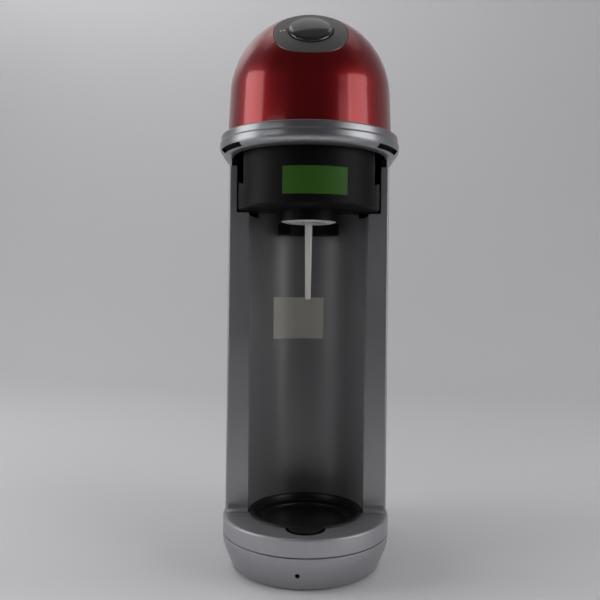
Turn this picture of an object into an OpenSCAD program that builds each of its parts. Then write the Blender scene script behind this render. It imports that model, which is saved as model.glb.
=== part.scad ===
// Sparkling water maker: a column with a round bottle bay, a tilting bottle head under a domed cover, and a
// push button that opens the gas cylinder's valve through a lever.
// Millimetres, Z up, front towards -Y, origin on the table under the middle of the machine.

/* [Body] */
// Width of the column
body_w = 128; // [126:1:140]
// Wall of the moulded shells
wall = 2.5; // [2:0.1:3]
// How far the pillars' faces stand in front of the bottle's axis
pillar_fwd = 3; // [2:0.5:5]
// Rounding of the pillars' front corners
pillar_round = 3; // [2.6:0.1:4]
// Width of the pillar left beside the bottle head
pillar_strip = 6.4; // [6:0.1:9]
// Height of the column's top edge
column_top = 315; // [290:1:330]
// Where the column splits into front housing and rear cover, behind the chassis screws
split_back = 9; // [7:0.5:13]

/* [Base] */
// How far the base stands out round the column
base_step = 1.5; // [1:0.5:5]
// Height of the deck
deck_z = 40; // [34:0.5:42]
// Height of the seam between the base's two shells
seam_z = 26.5; // [20:0.5:29]
// Height of the lower shell's underside above the table
foot_gap = 1.5; // [1:0.1:3]
// How far the lower shell draws in at its underside
base_draft = 7.5; // [1:0.5:9]
// Height over which the lower shell draws in
draft_h = 18; // [8:0.5:19]
// Rounding of the deck's edge
deck_round = 1.5; // [1:0.5:2.5]
// Fillet between the pillars and the deck
foot_fillet = 7; // [3:0.5:9]
// Radius of a rubber foot
foot_r = 8; // [6:0.5:10]
// Depth of a rubber foot in its recess
foot_sink = 1; // [0.6:0.1:1.4]
// Diameter of the small hole in the base's front
vent_d = 3; // [1.5:0.1:4]

/* [Bottle bay] */
// Radius of the bay's mouth at the deck
mouth_low = 45.8; // [44:0.2:47]
// Radius of the bay's mouth at the bottle head
mouth_high = 47.8; // [46.5:0.2:49]
// Wall of the bay's liner
liner_t = 2; // [1.5:0.1:2.5]
// How far the liner's front edge shows inside the mouth
liner_lip = 0.7; // [0.5:0.1:1.2]
// Width of the neck bumper
bumper_w = 50; // [40:1:56]
// Height of the neck bumper
bumper_h = 9; // [6:0.5:14]

/* [Drip tray] */
// Depth of the tray below the deck
tray_depth = 8.5; // [6:0.5:10]
// Wall of the tray
tray_wall = 1.6; // [1.2:0.1:2.4]
// Height of the tray's rim above the deck
tray_rim = 1.2; // [1.2:0.1:3]
// Width of the tray's rim resting on the deck
tray_seat = 1.6; // [1:0.1:3]
// Half-width of the finger tab
tab_r = 12.5; // [10:0.5:16]
// Depth of the finger pocket under the tab
pocket_d = 7; // [5:0.5:8]

/* [Bottle head] */
// How far the head hangs below the column's top
head_drop = 36; // [34:0.5:42]
// Gap between the head and the cut in the pillars
cut_gap = 1.2; // [0.8:0.1:1.6]
// Wall of the head
head_wall = 3; // [2:0.1:4]
// Width of each ear beside the notch
ear_w = 6.2; // [5:0.1:7.5]
// Height of the ears at their inner side
ear_h = 18; // [17:0.5:24]
// Radius of the boss below the head
boss_r = 22.6; // [20:0.2:26]
// Height of the boss below the head
boss_h = 7; // [6:0.5:12]
// Radius of the bottle's neck in its socket
neck_r = 14.2; // [12:0.1:15]
// Wall of the neck socket's sleeve
sleeve_t = 3.3; // [2.5:0.1:4.5]
// Thickness of the neck socket's flange
flange_t = 2; // [1.5:0.1:3]
// Length of the carbonating tube below the flange
tube_len = 61; // [40:1:75]
// Radius of the carbonating tube at the top
tube_r = 2.9; // [2.5:0.1:3.5]
// Radius of the pivot pins
pivot_r = 3; // [2.5:0.1:3.5]
// Distance of the pivot behind the bottle's axis
pivot_back = 7; // [6.5:0.5:9]
// Height of the pivot above the head's underside
pivot_rise = 13; // [11:0.5:14]

/* [Ring and dome] */
// Height of the dark collar between the pillars and the ring
collar_h = 6; // [3:0.5:7]
// How far the ring stands out round the column
ring_out = 7.2; // [5:0.2:9]
// Height of the ring
ring_h = 16; // [16:0.5:22]
// Rounding of the ring's lower edge
band_r = 7; // [5:0.5:8]
// Height of the lip on top of the ring
lip_h = 5; // [4:0.5:6]
// How far the lip draws in from the band
lip_in = 1; // [0.6:0.1:2.6]
// Wall of the ring's band
band_t = 2.2; // [1.6:0.1:2.6]
// Height of the vent slots
slot_h = 3; // [3:0.5:6]
// Length of the vent slots
slot_len = 34; // [20:1:40]
// Angle of the vent slots from the front
slot_turn = 60; // [50:1:70]
// How far the dome's top draws in from the column
dome_in = 0.5; // [0.5:0.1:3]
// How far the dome flares out down to the ring
dome_flare = 1.2; // [0.5:0.1:2]
// Height of the dome's round part above the ring
dome_rise = 32; // [22:0.2:36]

/* [Control plate and button] */
// Tilt of the plate from level
plate_tilt = 48; // [40:1:50]
// Half the plate's width
plate_r = 28; // [25:0.5:29]
// How far the plate's rounded corners reach beyond its half width
plate_swell = 2.6; // [0.5:0.1:3]
// Height of the plate's crown
plate_crown = 3.3; // [2:0.1:4]
// Radius of the button
button_r = 16.5; // [14:0.5:18]
// How far the button's edge stands out of the plate
button_proud = 3.2; // [2:0.1:4]
// Height of the button's own crown
button_crown = 1.8; // [1:0.1:2.5]
// How far the button is pushed in
button_travel = 5; // [3:0.5:5]
// Radius of the button's stem
stem_r = 4; // [3:0.5:5]

/* [Gas line] */
// Radius of the gas cylinder
cyl_r = 30; // [27:0.5:32]
// Room round the gas cylinder
cyl_room = 3.7; // [3.2:0.1:6]
// Radius of the cylinder valve's thread
thread_r = 10; // [8:0.5:11]
// Width of the valve block
block_w = 34; // [30:1:40]
// Depth of the valve block
block_d = 30; // [26:1:32]
// Height of the valve block
block_h = 25.5; // [24:0.5:28]
// Radius of the valve pin
pin_r = 2; // [1.5:0.1:2.5]
// Radius of the gas hose
hose_r = 2.5; // [2:0.1:3]

/* [Lever] */
// Width of the lever
lever_w = 12; // [10:0.5:16]
// Thickness of the lever's bar
lever_t = 12; // [9:0.5:13]
// Radius of the lever's pin
lever_pin_r = 2.5; // [2:0.1:3]
// Thickness of the bracket's cheeks
cheek_t = 3; // [2:0.1:4]

/* [Fits] */
// Clearance between pieces that move past each other
gap = 0.3; // [0.3:0.05:0.4]
// Clearance between pieces that are fixed together
seat = 0.05; // [0.03:0.01:0.08]
// Radial clearance of a pin that turns in its hole
run = 0.05; // [0.03:0.01:0.08]

/* [Hidden] */
$fn = 96;

// Where the main arcs and the column's faces lie
body_r = body_w / 2;
base_r = body_r + base_step;
liner_back = liner_t - liner_lip;
arc_gap = mouth_high + liner_back + 2 * cyl_room + 2 * cyl_r + wall - body_r;
front_c = -arc_gap / 2;
rear_c = arc_gap / 2;
face_y = front_c - pillar_fwd;
cyl_y = rear_c + body_r - wall - cyl_room - cyl_r;

// Small hole in the base's front
vent_x = -5.3;
vent_z = 0.49 * seam_z;

// Heights, from the table up
floor_z = foot_gap + wall;
head_low = column_top - head_drop;
ring_low = column_top + collar_h;
ring_top = ring_low + ring_h;
lip_low = ring_top - lip_h;
dome_z = ring_top + dome_rise;
head_reach = 4.5;
head_top = ring_low + head_reach;

// Tray and its well
tray_r = mouth_low - liner_lip - gap;
well_r = tray_r - tray_seat;
well_floor = deck_z - tray_depth - 2 * seat;
tray_body_r = well_r - gap;
step_r = 0.8 * tray_r;
step_z = deck_z - tray_depth / 2;
tab_in = 3;
tab_y = front_c - tray_r + tab_in;
pocket_r = tab_r + 2.5;

// Bottle head, its pivot and what hangs from it
head_r = body_r - pillar_strip - cut_gap;
head_core = head_r - ear_w;
head_back_r = mouth_high - 7.8;
pivot_y = front_c + pivot_back;
pivot_z = head_low + pivot_rise;
head_cut_y = pivot_y + pivot_r + 5;
liner_side_y = head_cut_y + 7;
ear_slope = 0.7;
boss_low = head_low - boss_h;
sleeve_r = neck_r + sleeve_t;
web_z = head_low + seat;
web_t = head_wall;
hub_z = web_z + web_t + seat;
fitting_r = 8;
fitting_h = 22;
tube_collar_r = 5.5;
tube_collar_h = 3;
tube_tip_r = 0.75 * tube_r;
seal_t = 2.4;
relief_in = 14;
relief_nut_r = 7;
relief_r = 4.5;
relief_h = 16;
relief_cap_h = 5;
bumper_set = 24;
bumper_hollow = 28;

// Chassis
collar_in = 2;
side_play = 0.7;
side_out = body_r - wall - side_play;
side_t = 3.5;
side_in = side_out - side_t;
deck_front = front_c + mouth_high + liner_back + gap;
post_set = 3.6;
blind_t = 2;
blind_y = head_cut_y + 10;
blind_in = sqrt(pow(mouth_at(column_top) + liner_back, 2) - pow(blind_y - front_c, 2)) + 2 * gap;
post_x = body_r - wall - 7.5;
post_y = deck_front + post_set;
split_y = post_y + split_back;
post_r = 4;
foot_post_set = 9.5;
foot_post_y = face_y + wall + foot_post_set;
screw_r = 1.6;
screw_head_r = 3.2;
screw_head_h = 2;
screw_len = 12;

// Ring and dome
ring_r = body_r + ring_out;
lip_r = ring_r - lip_in;
band_c = ring_r - band_r;
band_z = ring_low + band_r;
band_shoulder = 2;
dome_r = body_r - dome_in;
dome_base_r = dome_r + dome_flare;
ledge_in = head_r + 3.8;
ledge_t = 2.4;
slot_z = ring_low + 1;
lip_round = 1.2;

// Control plate, along its own tilted axis from the dome's centre
plate_d = sqrt(dome_r * dome_r - plate_r * plate_r);
plate_sphere = (plate_r * plate_r + plate_crown * plate_crown) / (2 * plate_crown);
plate_corner = plate_r + plate_swell;
plate_bow = 44;
inner_d = sqrt(pow(dome_r - wall, 2) - pow(plate_corner + 2, 2));
plate_hem_top = inner_d - gap;
plate_hem = 1.6;
plate_hem_out = 1.4;
button_edge = plate_d + plate_at(button_r) + button_proud;
button_sphere = (button_r * button_r + button_crown * button_crown) / (2 * button_crown);
skirt_drop = 11.8;
skirt_low = plate_d - skirt_drop;
guide_t = 2;
guide_floor = skirt_low - button_travel - 1;
stem_out = 11;
stem_tip = guide_floor - guide_t - button_travel - stem_out;
tip_play = 0.5;
light_r = 0.8;
light_x = [-19.8, -22.2];

// Lever, valve block and cylinder
block_top = ring_low + block_h;
pin_head_r = 3.8;
pin_head_h = 3;
pin_rise = 15.9;
pin_top = block_top + pin_rise;
lever_low = pin_top + gap;
lever_z = lever_low + lever_t / 2;
lever_back = 13.2;
lever_y = rear_c + body_r - lever_back;
lever_boss = lever_t / 2 + 1;
bracket_reach = 6;
bracket_play = 2;
bracket_front = cyl_y + block_d / 2 + bracket_play;
pad_t = 3;
pad_len = 16;
pad_d = stem_tip - tip_play;
pad_y = front_c - pad_d * sin(plate_tilt);
pad_z = dome_z + pad_d * cos(plate_tilt);
arm_run = 8;
chin = [9, 12];
lip = [2, 6];
brow = [1, 1];
spring_set = 10;
spring_y = cyl_y - block_d / 2 - spring_set;
spring_seat_r = 6.5;
spring_r = 5;
spring_wire = 0.6;
spigot_r = 3.6;
spigot_h = 5;
lever_seat_z = lever_low;
thread_rise = 14;
thread_top = ring_low + thread_rise;
seal_h = 2;
port_x = 11;
port_drop = 5;
port_z = block_top - port_drop;
port_len = 5;
valve_collar_r = thread_r + 3;
valve_collar_h = 14;
valve_collar_top = column_top - 2;
neck_z = valve_collar_top - valve_collar_h;
cyl_neck_r = 14;
cyl_neck_h = 18;
shoulder_h = 26;
cyl_wall = 3;
cradle_h = 16;
cradle_t = 2.5;
cradle_lift = 10;
cradle_foot_r = 24;
cyl_low = floor_z + seat + cradle_lift + cradle_t + gap;

// Rear cover and its latch
tongue = 4;
latch_w = 17;
latch_h = 15;
latch_drop = 26;
latch_low = column_top - latch_drop;
latch_travel = 4;
latch_hem = 3.5;
latch_t = 1.6;
latch_face = rear_c + sqrt(pow(body_r - wall, 2) - pow(latch_w / 2 + latch_hem, 2)) - gap;
latch_tab_w = 10;
latch_spring_wire = 0.35;
latch_spring_h = 10;
latch_y = latch_face - latch_t / 2;
latch_spring_r = rear_c + body_r - wall - latch_y - latch_spring_wire - 1.5 * gap;
shelf_t = 2;

// Screw and foot places, mirrored left and right
screw_edge = 5.8;
base_screw_ring = base_r - base_draft - screw_edge;
base_screw_at = base_screw_ring * sin(45);
foot_x = 43;
foot_front_set = 16;
foot_rear_set = 22;
foot_front = front_c - foot_front_set;
foot_rear = rear_c + foot_rear_set;

// Height of the plate's crowned face above its rim, at a distance from its middle
function plate_at(r) = sqrt(plate_sphere * plate_sphere - r * r) - plate_sphere + plate_crown;

// Radius of the bay's mouth at a height
function mouth_at(z) = mouth_low + (mouth_high - mouth_low) * (z - deck_z) / (head_low - deck_z);

// Long round plan shape with a half-circle at the front and at the back
module stadium(r) {
    translate([0, front_c]) circle(r);
    translate([0, rear_c]) circle(r);
    translate([-r, front_c]) square([2 * r, arc_gap]);
}

// A profile of radius and height, carried round the long plan shape
module sweep_round() {
    translate([0, rear_c, 0]) rotate_extrude(angle = 180) children();
    translate([0, front_c, 0]) rotate([0, 0, 180]) rotate_extrude(angle = 180) children();
    for (side = [0, 1])
        mirror([side, 0, 0]) rotate([90, 0, 0]) linear_extrude(height = arc_gap, center = true) children();
}

// Both sides of the machine
module both_sides() {
    children();
    mirror([1, 0, 0]) children();
}

// Plan of the column, drawn in by a distance
module column_plan(inset) {
    corner = pillar_round - inset > 0.1 ? pillar_round - inset : 0.1;
    front = face_y + inset;
    half = body_r - inset;
    intersection() {
        stadium(half);
        translate([-half, front + corner]) square([2 * half, rear_c + body_r - front]);
    }
    translate([-half + corner, front]) square([2 * (half - corner), corner + 0.5]);
    for (x = [-1, 1])
        translate([x * (half - corner), front + corner]) circle(corner);
}

// Everything in front of or behind a line across the plan
module plan_front(y) { translate([-body_w, y - 4 * body_w]) square([2 * body_w, 4 * body_w]); }
module plan_back(y) { translate([-body_w, y]) square([2 * body_w, 4 * body_w]); }

// The bay's tapered space, grown by a distance, between two heights
module bay_cone(grow, low, high) {
    translate([0, front_c, low])
        cylinder(h = high - low, r1 = mouth_at(low) + grow, r2 = mouth_at(high) + grow);
}

// Places along the control plate's tilted axis
module on_plate() { translate([0, front_c, dome_z]) rotate([plate_tilt, 0, 0]) children(); }

// A pin or bore along X
module rod_x(r, from, to) { translate([from, 0, 0]) rotate([0, 90, 0]) cylinder(r = r, h = to - from); }

// A screw with its head's seat at the origin, pointing down
module screw(length) {
    translate([0, 0, -length]) cylinder(r = screw_r, h = length);
    difference() {
        cylinder(r = screw_head_r, h = screw_head_h);
        translate([0, 0, screw_head_h - 1]) cylinder(r = 1.4, h = 2, $fn = 6);
    }
}

// Places of the base's four screws
module at_base_screws() {
    both_sides() {
        translate([base_screw_at, front_c - base_screw_at, 0]) children();
        translate([base_screw_at, rear_c + base_screw_at, 0]) children();
    }
}

// Places of the four feet
module at_feet() {
    both_sides() {
        translate([foot_x, foot_front, 0]) children();
        translate([foot_x, foot_rear, 0]) children();
    }
}

// Points of a ring of a tube, square to a direction
function ring_points(centre, ahead, side, r, sides) =
    let (across = cross(ahead, side) / norm(cross(ahead, side)))
    [for (k = [0:sides - 1]) centre + r * (cos(360 * k / sides) * side + sin(360 * k / sides) * across)];

// A closed tube through rings that all have the same number of points
module tube_through(rings) {
    count = len(rings);
    sides = len(rings[0]);
    points = [for (ring = rings, p = ring) p];
    skin = [
        for (i = [0:count - 2], k = [0:sides - 1])
            let (a = i * sides + k, b = i * sides + (k + 1) % sides, c = a + sides, d = b + sides)
            each [[a, d, b], [a, c, d]]
    ];
    first_cap = [for (k = [1:sides - 2]) [0, k, k + 1]];
    last = (count - 1) * sides;
    last_cap = [for (k = [1:sides - 2]) [last, last + k + 1, last + k]];
    polyhedron(points = points, faces = concat(skin, first_cap, last_cap));
}

// A coil spring standing on the origin: mean radius, wire radius, height and turns
module coil_spring(r, wire, height, turns) {
    steps = 8 * turns;
    climb = height - 2 * wire;
    echo(spring_gap = climb / turns - 2 * wire);
    tube_through([
        for (i = [0:steps])
            let (
                turn = 360 * turns * i / steps,
                out = [cos(turn), sin(turn), 0],
                ahead = [-sin(turn), cos(turn), climb / (2 * PI * r * turns)]
            )
            ring_points(r * out + [0, 0, wire + climb * i / steps], ahead / norm(ahead), out, wire, 6)
    ]);
}

// Lower half of the base, with its floor, feet recesses and screw posts
module lower_shell() {
    top = seam_z - seat;
    draft_z = foot_gap + draft_h;
    color("silver") difference() {
        union() {
            sweep_round() difference() {
                polygon([
                    [0, foot_gap], [base_r - base_draft, foot_gap], [base_r, draft_z], [base_r, top], [0, top]
                ]);
                polygon([
                    [-1, floor_z], [base_r - base_draft - wall, floor_z], [base_r - wall, draft_z],
                    [base_r - wall, top + 1], [-1, top + 1]
                ]);
            }
            at_base_screws() translate([0, 0, floor_z - 1]) cylinder(r = post_r + 0.5, h = top - floor_z + 1);
        }
        at_feet() translate([0, 0, foot_gap - 1]) cylinder(r = foot_r + seat, h = foot_sink + 1);
        at_base_screws() {
            translate([0, 0, foot_gap - 1]) cylinder(r = screw_r + 0.2, h = top);
            translate([0, 0, foot_gap - 1]) cylinder(r = screw_head_r + 0.4, h = wall + 5);
        }
        translate([vent_x, front_c, vent_z]) rotate([90, 0, 0]) cylinder(d = vent_d, h = 2 * base_r);
    }
}

// Four rubber feet
module rubber_feet() {
    color("#1c1c1c") at_feet() cylinder(r = foot_r, h = foot_gap + foot_sink - seat);
}

// Screws that close the base from below
module base_screws() {
    color("gray") at_base_screws()
        translate([0, 0, floor_z + 4 - seat]) mirror([0, 0, 1]) screw(deck_z - wall - 2 - floor_z - 4);
}

// Upper half of the base: the deck with its wells
module upper_shell() {
    low = seam_z + seat;
    color("silver") difference() {
        union() {
            deck_shell(low);
            at_base_screws()
                translate([0, 0, seam_z + seat]) cylinder(r = post_r, h = deck_z - wall / 2 - seam_z - seat);
        }
        translate([0, front_c, well_floor]) cylinder(r = well_r, h = deck_z);
        finger_pocket();
        translate([0, cyl_y, low - 1]) cylinder(r = cyl_r + 2, h = deck_z);
        at_base_screws() translate([0, 0, low - 1]) cylinder(r = screw_r + seat, h = deck_z - wall - low);
        at_foot_posts() translate([0, 0, deck_z - wall - 1]) cylinder(r = screw_r + 0.2, h = wall + 2);
    }
}

// The two pillars with the column's side walls, screwed to the deck from below
module front_housing() {
    high = column_top - seat;
    color("silver") {
        pillars();
        pillar_fillets();
        both_sides() translate([post_x, post_y, 0]) housing_post(high - screw_len - 6, high);
        at_foot_posts() housing_post(deck_z + seat, deck_z + screw_len + 4);
    }
}

// Places of the screw posts at the pillars' feet, on both sides
module at_foot_posts() {
    both_sides() for (y = [foot_post_y, post_y]) translate([post_x, y, 0]) children();
}

// The deck with its rounded edge, and the cups of the tray's well and of the finger pocket
module deck_shell(low) {
    sweep_round() difference() {
        union() {
            translate([0, low]) square([base_r, deck_z - deck_round - low]);
            translate([0, low]) square([base_r - deck_round, deck_z - low]);
            translate([base_r - deck_round, deck_z - deck_round]) circle(deck_round);
        }
        translate([-1, low - 1]) square([base_r - wall + 1, deck_z - wall - low + 1]);
    }
    translate([0, front_c, well_floor - wall + seat]) cylinder(r = well_r + wall, h = deck_z - well_floor);
    translate([0, tab_y, deck_z - pocket_d - wall]) cylinder(r = pocket_r + wall / 2, h = pocket_d + wall / 2);
}

// Half-round space for a finger under the tray's tab
module finger_pocket() { translate([0, tab_y, deck_z - pocket_d]) cylinder(r = pocket_r, h = deck_z); }

// Pillars and side walls of the column, with the bay's mouth and the cut for the bottle head
module pillars() {
    low = deck_z + seat;
    cut = head_r + cut_gap;
    difference() {
        translate([0, 0, low]) linear_extrude(height = column_top - low) difference() {
            column_plan(0);
            column_plan(wall);
            plan_back(split_y);
        }
        bay_cone(0, low - 1, column_top + 1);
        translate([-cut, face_y - 1, head_low - cut_gap])
            cube([2 * cut, wall + 1 + pillar_fwd, column_top]);
    }
}

// Concave fillets where the pillars' faces meet the deck
module pillar_fillets() {
    half = body_r - pillar_round;
    difference() {
        translate([-half, face_y, deck_z]) rotate([90, 0, 90]) linear_extrude(height = 2 * half) difference() {
            translate([-foot_fillet, seat]) square([foot_fillet + 0.5, foot_fillet - seat]);
            translate([-foot_fillet, foot_fillet]) circle(foot_fillet);
        }
        bay_cone(0, deck_z - 1, deck_z + foot_fillet + 1);
        translate([-mouth_low, face_y - foot_fillet - 1, deck_z - 1])
            cube([2 * mouth_low, foot_fillet + 1, foot_fillet + 2]);
    }
}

// Post for a screw between two heights, tied to the side wall by a rib
module housing_post(low, high) {
    difference() {
        union() {
            translate([0, 0, low]) cylinder(r = post_r, h = high - low);
            translate([0, -1.5, low]) cube([body_r - wall / 2 - post_x, 3, high - low]);
        }
        translate([0, 0, low - 1]) cylinder(r = screw_r + seat, h = high - low + 2);
    }
}

// Half-round liner of the bottle bay, open at the front
module bay_liner() {
    low = deck_z + seat;
    side_top = head_low - 3;
    back_top = column_top - 4;
    color("#3c3c3e") difference() {
        bay_cone(liner_back, low, back_top);
        bay_cone(-liner_lip, low - 1, back_top + 1);
        translate([-body_w, face_y - body_w, low - 1]) cube([2 * body_w, body_w, column_top]);
        translate([-body_w, face_y - 1, side_top]) cube([2 * body_w, liner_side_y - face_y + 1, column_top]);
        difference() {
            translate([-body_w, face_y - 1, low - 1]) cube([2 * body_w, wall + seat + 1, column_top]);
            bay_cone(-seat, low - 2, column_top + 1);
        }
    }
}

// Block on the liner's back wall that the bottle's neck leans on
module neck_bumper() {
    high = boss_low - gap;
    low = high - bumper_h;
    color("#121212") difference() {
        intersection() {
            translate([-bumper_w / 2, front_c + bumper_set, low]) cube([bumper_w, mouth_high, bumper_h]);
            bay_cone(-liner_lip - seat, low - 1, high + 1);
        }
        translate([0, front_c, low - 1]) cylinder(r = bumper_hollow, h = bumper_h + 2);
    }
}

// Drip tray with a stepped dish and a finger tab
module drip_tray() {
    low = deck_z - tray_depth;
    seat_z = deck_z + seat;
    top = seat_z + tray_rim;
    inner = tray_body_r - tray_wall;
    color("#161616") {
        translate([0, front_c, 0]) rotate_extrude() polygon([
            [0, low], [step_r, low], [step_r, step_z - tray_wall], [tray_body_r, step_z - tray_wall],
            [tray_body_r, seat_z], [tray_r, seat_z], [tray_r, top - 0.6], [tray_r - 0.6, top],
            [inner + 0.4, top], [inner, top - 0.4], [inner, step_z], [step_r - tray_wall, step_z],
            [step_r - tray_wall - 0.6, low + tray_wall], [0, low + tray_wall]
        ]);
        difference() {
            translate([0, tab_y, seat_z]) cylinder(r = tab_r, h = tray_rim - 0.2);
            translate([0, front_c, seat_z - 1]) cylinder(r = tray_body_r, h = tray_rim + 2);
        }
    }
}

// Removable back of the column
module rear_cover() {
    low = deck_z + gap;
    high = column_top - gap;
    window_low = latch_low - latch_travel - gap;
    color("silver") {
        difference() {
            translate([0, 0, low]) linear_extrude(height = high - low) difference() {
                column_plan(0);
                column_plan(wall);
                plan_front(split_y + gap);
            }
            translate([-latch_w / 2 - gap, rear_c, window_low])
                cube([latch_w + 2 * gap, body_r + 5, latch_h + latch_travel + 2 * gap]);
        }
        translate([0, 0, low]) linear_extrude(height = high - low) cover_tongues();
        latch_shelf();
    }
}

// Tongues of the rear cover that reach inside the housing's walls
module cover_tongues() {
    difference() {
        intersection() {
            union() {
                column_plan(wall + gap);
                difference() {
                    column_plan(wall - 0.2);
                    plan_front(split_y + 2 * gap);
                }
            }
            translate([-body_w, split_y - tongue]) square([2 * body_w, 2 * tongue]);
        }
        column_plan(wall + gap + 1.6);
    }
}

// Shelf inside the rear cover that the latch's spring stands on
module latch_shelf() {
    top = latch_low - latch_hem - latch_spring_h - 2 * seat;
    half = latch_w / 2;
    translate([0, 0, top - shelf_t]) linear_extrude(height = shelf_t) difference() {
        column_plan(wall - 0.2);
        plan_front(latch_y - latch_spring_r - 1.5);
        for (x = [-1, 1])
            translate([x * (half + body_w) - body_w, 0]) square([2 * body_w, 2 * body_w]);
    }
}

// Thumb latch at the top of the rear cover
module cover_latch() {
    hem_w = latch_w + 2 * latch_hem;
    color("#2a2a2a") {
        translate([-hem_w / 2, latch_face - latch_t, latch_low - latch_hem])
            cube([hem_w, latch_t, latch_h + 2 * latch_hem]);
        translate([0, 0, latch_low]) linear_extrude(height = latch_h) intersection() {
            translate([-latch_w / 2, latch_face - latch_t]) square([latch_w, body_r]);
            translate([0, rear_c]) circle(body_r + 0.8);
        }
        translate([-latch_tab_w / 2, latch_face - latch_t, latch_low])
            cube([latch_tab_w, latch_t, column_top + collar_h / 2 - latch_low]);
    }
}

// Spring under the latch
module latch_spring() {
    color("gray") translate([0, latch_y, latch_low - latch_hem - latch_spring_h - seat])
        coil_spring(latch_spring_r, latch_spring_wire, latch_spring_h, 6);
}

// Inner frame: a deck over the cylinder, arms round the bottle head, the plates that carry its pivot and the
// blinds that close the view past the head's notches
module chassis() {
    side_low = pivot_z - pivot_r - 6;
    color("#1a1a1a") difference() {
        union() {
            translate([0, 0, column_top]) linear_extrude(height = collar_h) chassis_plan();
            both_sides() difference() {
                translate([side_in, face_y + wall + gap, side_low])
                    cube([side_t, pivot_back + pillar_fwd - wall + 9, column_top - side_low + 1]);
                translate([0, pivot_y, pivot_z]) rod_x(pivot_r + run, side_in - 1, side_out + 1);
            }
            both_sides() translate([blind_in, blind_y, head_low - 3])
                cube([side_out - blind_in, blind_t, column_top - head_low + 4]);
            translate([0, spring_y, ring_low - 1]) cylinder(r = spigot_r, h = spigot_h + 1);
        }
        translate([0, cyl_y, column_top - 1]) cylinder(r = valve_collar_r, h = collar_h + 2);
        both_sides() translate([post_x, post_y, column_top - 1]) cylinder(r = screw_r + 0.2, h = collar_h + 2);
    }
}

// Plan of the chassis deck and its arms
module chassis_plan() {
    notch = latch_tab_w + 2;
    difference() {
        stadium(body_r - collar_in);
        plan_front(face_y + 1);
        translate([-side_in, face_y - 1]) square([2 * side_in, deck_front - face_y + 1]);
        translate([-notch / 2, latch_face - latch_t - 1]) square([notch, body_r]);
    }
}

// Screws of the chassis, and those that hold the pillars to the deck from below
module frame_screws() {
    color("gray") {
        both_sides() translate([post_x, post_y, ring_low + seat]) screw(screw_len);
        at_foot_posts() translate([0, 0, deck_z - wall - seat]) mirror([0, 0, 1]) screw(screw_len);
    }
}

// Silver ring under the dome, with two vent slots in its lower curve
module trim_ring() {
    color("silver") difference() {
        sweep_round() ring_profile();
        for (turn = [-slot_turn, slot_turn])
            translate([0, front_c, 0]) rotate([0, 0, turn])
                translate([-slot_len / 2, -ring_r - 2, slot_z]) cube([slot_len, ring_out, slot_h]);
    }
}

// Section of the ring: band with a rounded lower edge, lip and the ledge that rests on the chassis
module ring_profile() {
    shoulder = lip_low - band_shoulder;
    difference() {
        union() {
            intersection() {
                translate([band_c, band_z]) circle(band_r);
                translate([ledge_in, ring_low]) square([ring_r, shoulder - ring_low]);
            }
            translate([ledge_in, ring_low]) square([band_c - ledge_in, lip_low - ring_low]);
            translate([ledge_in, band_z]) square([ring_r - ledge_in, shoulder - band_z]);
            translate([ledge_in, shoulder - 0.5]) square([ring_r - band_shoulder - ledge_in, band_shoulder + 0.5]);
            translate([ring_r - band_shoulder, shoulder]) circle(band_shoulder);
            translate([band_c, lip_low - 1]) square([lip_r - lip_round - band_c, lip_h + 1]);
            translate([band_c, lip_low - 1]) square([lip_r - band_c, lip_h + 1 - lip_round]);
            translate([lip_r - lip_round, ring_top - lip_round]) circle(lip_round);
        }
        translate([0, ring_low + ledge_t]) square([dome_base_r + seat, ring_h]);
        intersection() {
            union() {
                translate([band_c, band_z]) circle(band_r - band_t);
                translate([0, band_z]) square([ring_r - band_t, lip_low - band_t - band_z]);
            }
            translate([0, ring_low + ledge_t]) square([ring_r, lip_low - band_t - ring_low - ledge_t]);
        }
    }
}

// Domed cover over the valve and the lever
module dome_cover() {
    color("#7c0610") difference() {
        sweep_round() difference() {
            dome_profile(0, ring_low + ledge_t + seat);
            dome_profile(wall, ring_low);
        }
        on_plate() translate([0, 0, plate_d - 4 * wall]) linear_extrude(height = dome_r) plate_plan(seat);
    }
}

// Half section of the dome drawn in by a distance, from a height up
module dome_profile(inset, low) {
    polygon([
        [0, low], [dome_base_r - inset, low], [dome_base_r - inset, ring_top], [dome_r - inset, dome_z],
        [0, dome_z]
    ]);
    intersection() {
        translate([0, dome_z]) circle(dome_r - inset);
        translate([0, dome_z]) square(dome_r);
    }
}

// Outline of the plate, grown by a distance: four bowed sides with rounded corners
module plate_plan(grow) {
    off = plate_bow - plate_r;
    intersection() {
        circle(plate_corner + grow);
        translate([off, 0]) circle(plate_bow + grow);
        translate([-off, 0]) circle(plate_bow + grow);
        translate([0, off]) circle(plate_bow + grow);
        translate([0, -off]) circle(plate_bow + grow);
    }
}

// Plate on the dome's slope, with the guide that the button slides in
module control_plate() {
    bore = button_r + gap;
    color("#6e6e6e") on_plate() difference() {
        union() {
            intersection() {
                translate([0, 0, plate_hem_top - plate_hem])
                    linear_extrude(height = plate_d + plate_crown - plate_hem_top + plate_hem) plate_plan(0);
                translate([0, 0, plate_d + plate_crown - plate_sphere]) sphere(plate_sphere);
            }
            translate([0, 0, plate_hem_top - plate_hem])
                linear_extrude(height = plate_hem) plate_plan(plate_hem_out);
            translate([0, 0, guide_floor - guide_t]) cylinder(r = bore + guide_t, h = plate_d - guide_floor);
        }
        translate([0, 0, guide_floor]) cylinder(r = bore, h = dome_r);
        translate([0, 0, guide_floor - guide_t - 1]) cylinder(r = stem_r + gap, h = dome_r);
        for (x = light_x) translate([x, 0, plate_d - 1]) cylinder(r = light_r + seat, h = dome_r);
    }
}

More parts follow.
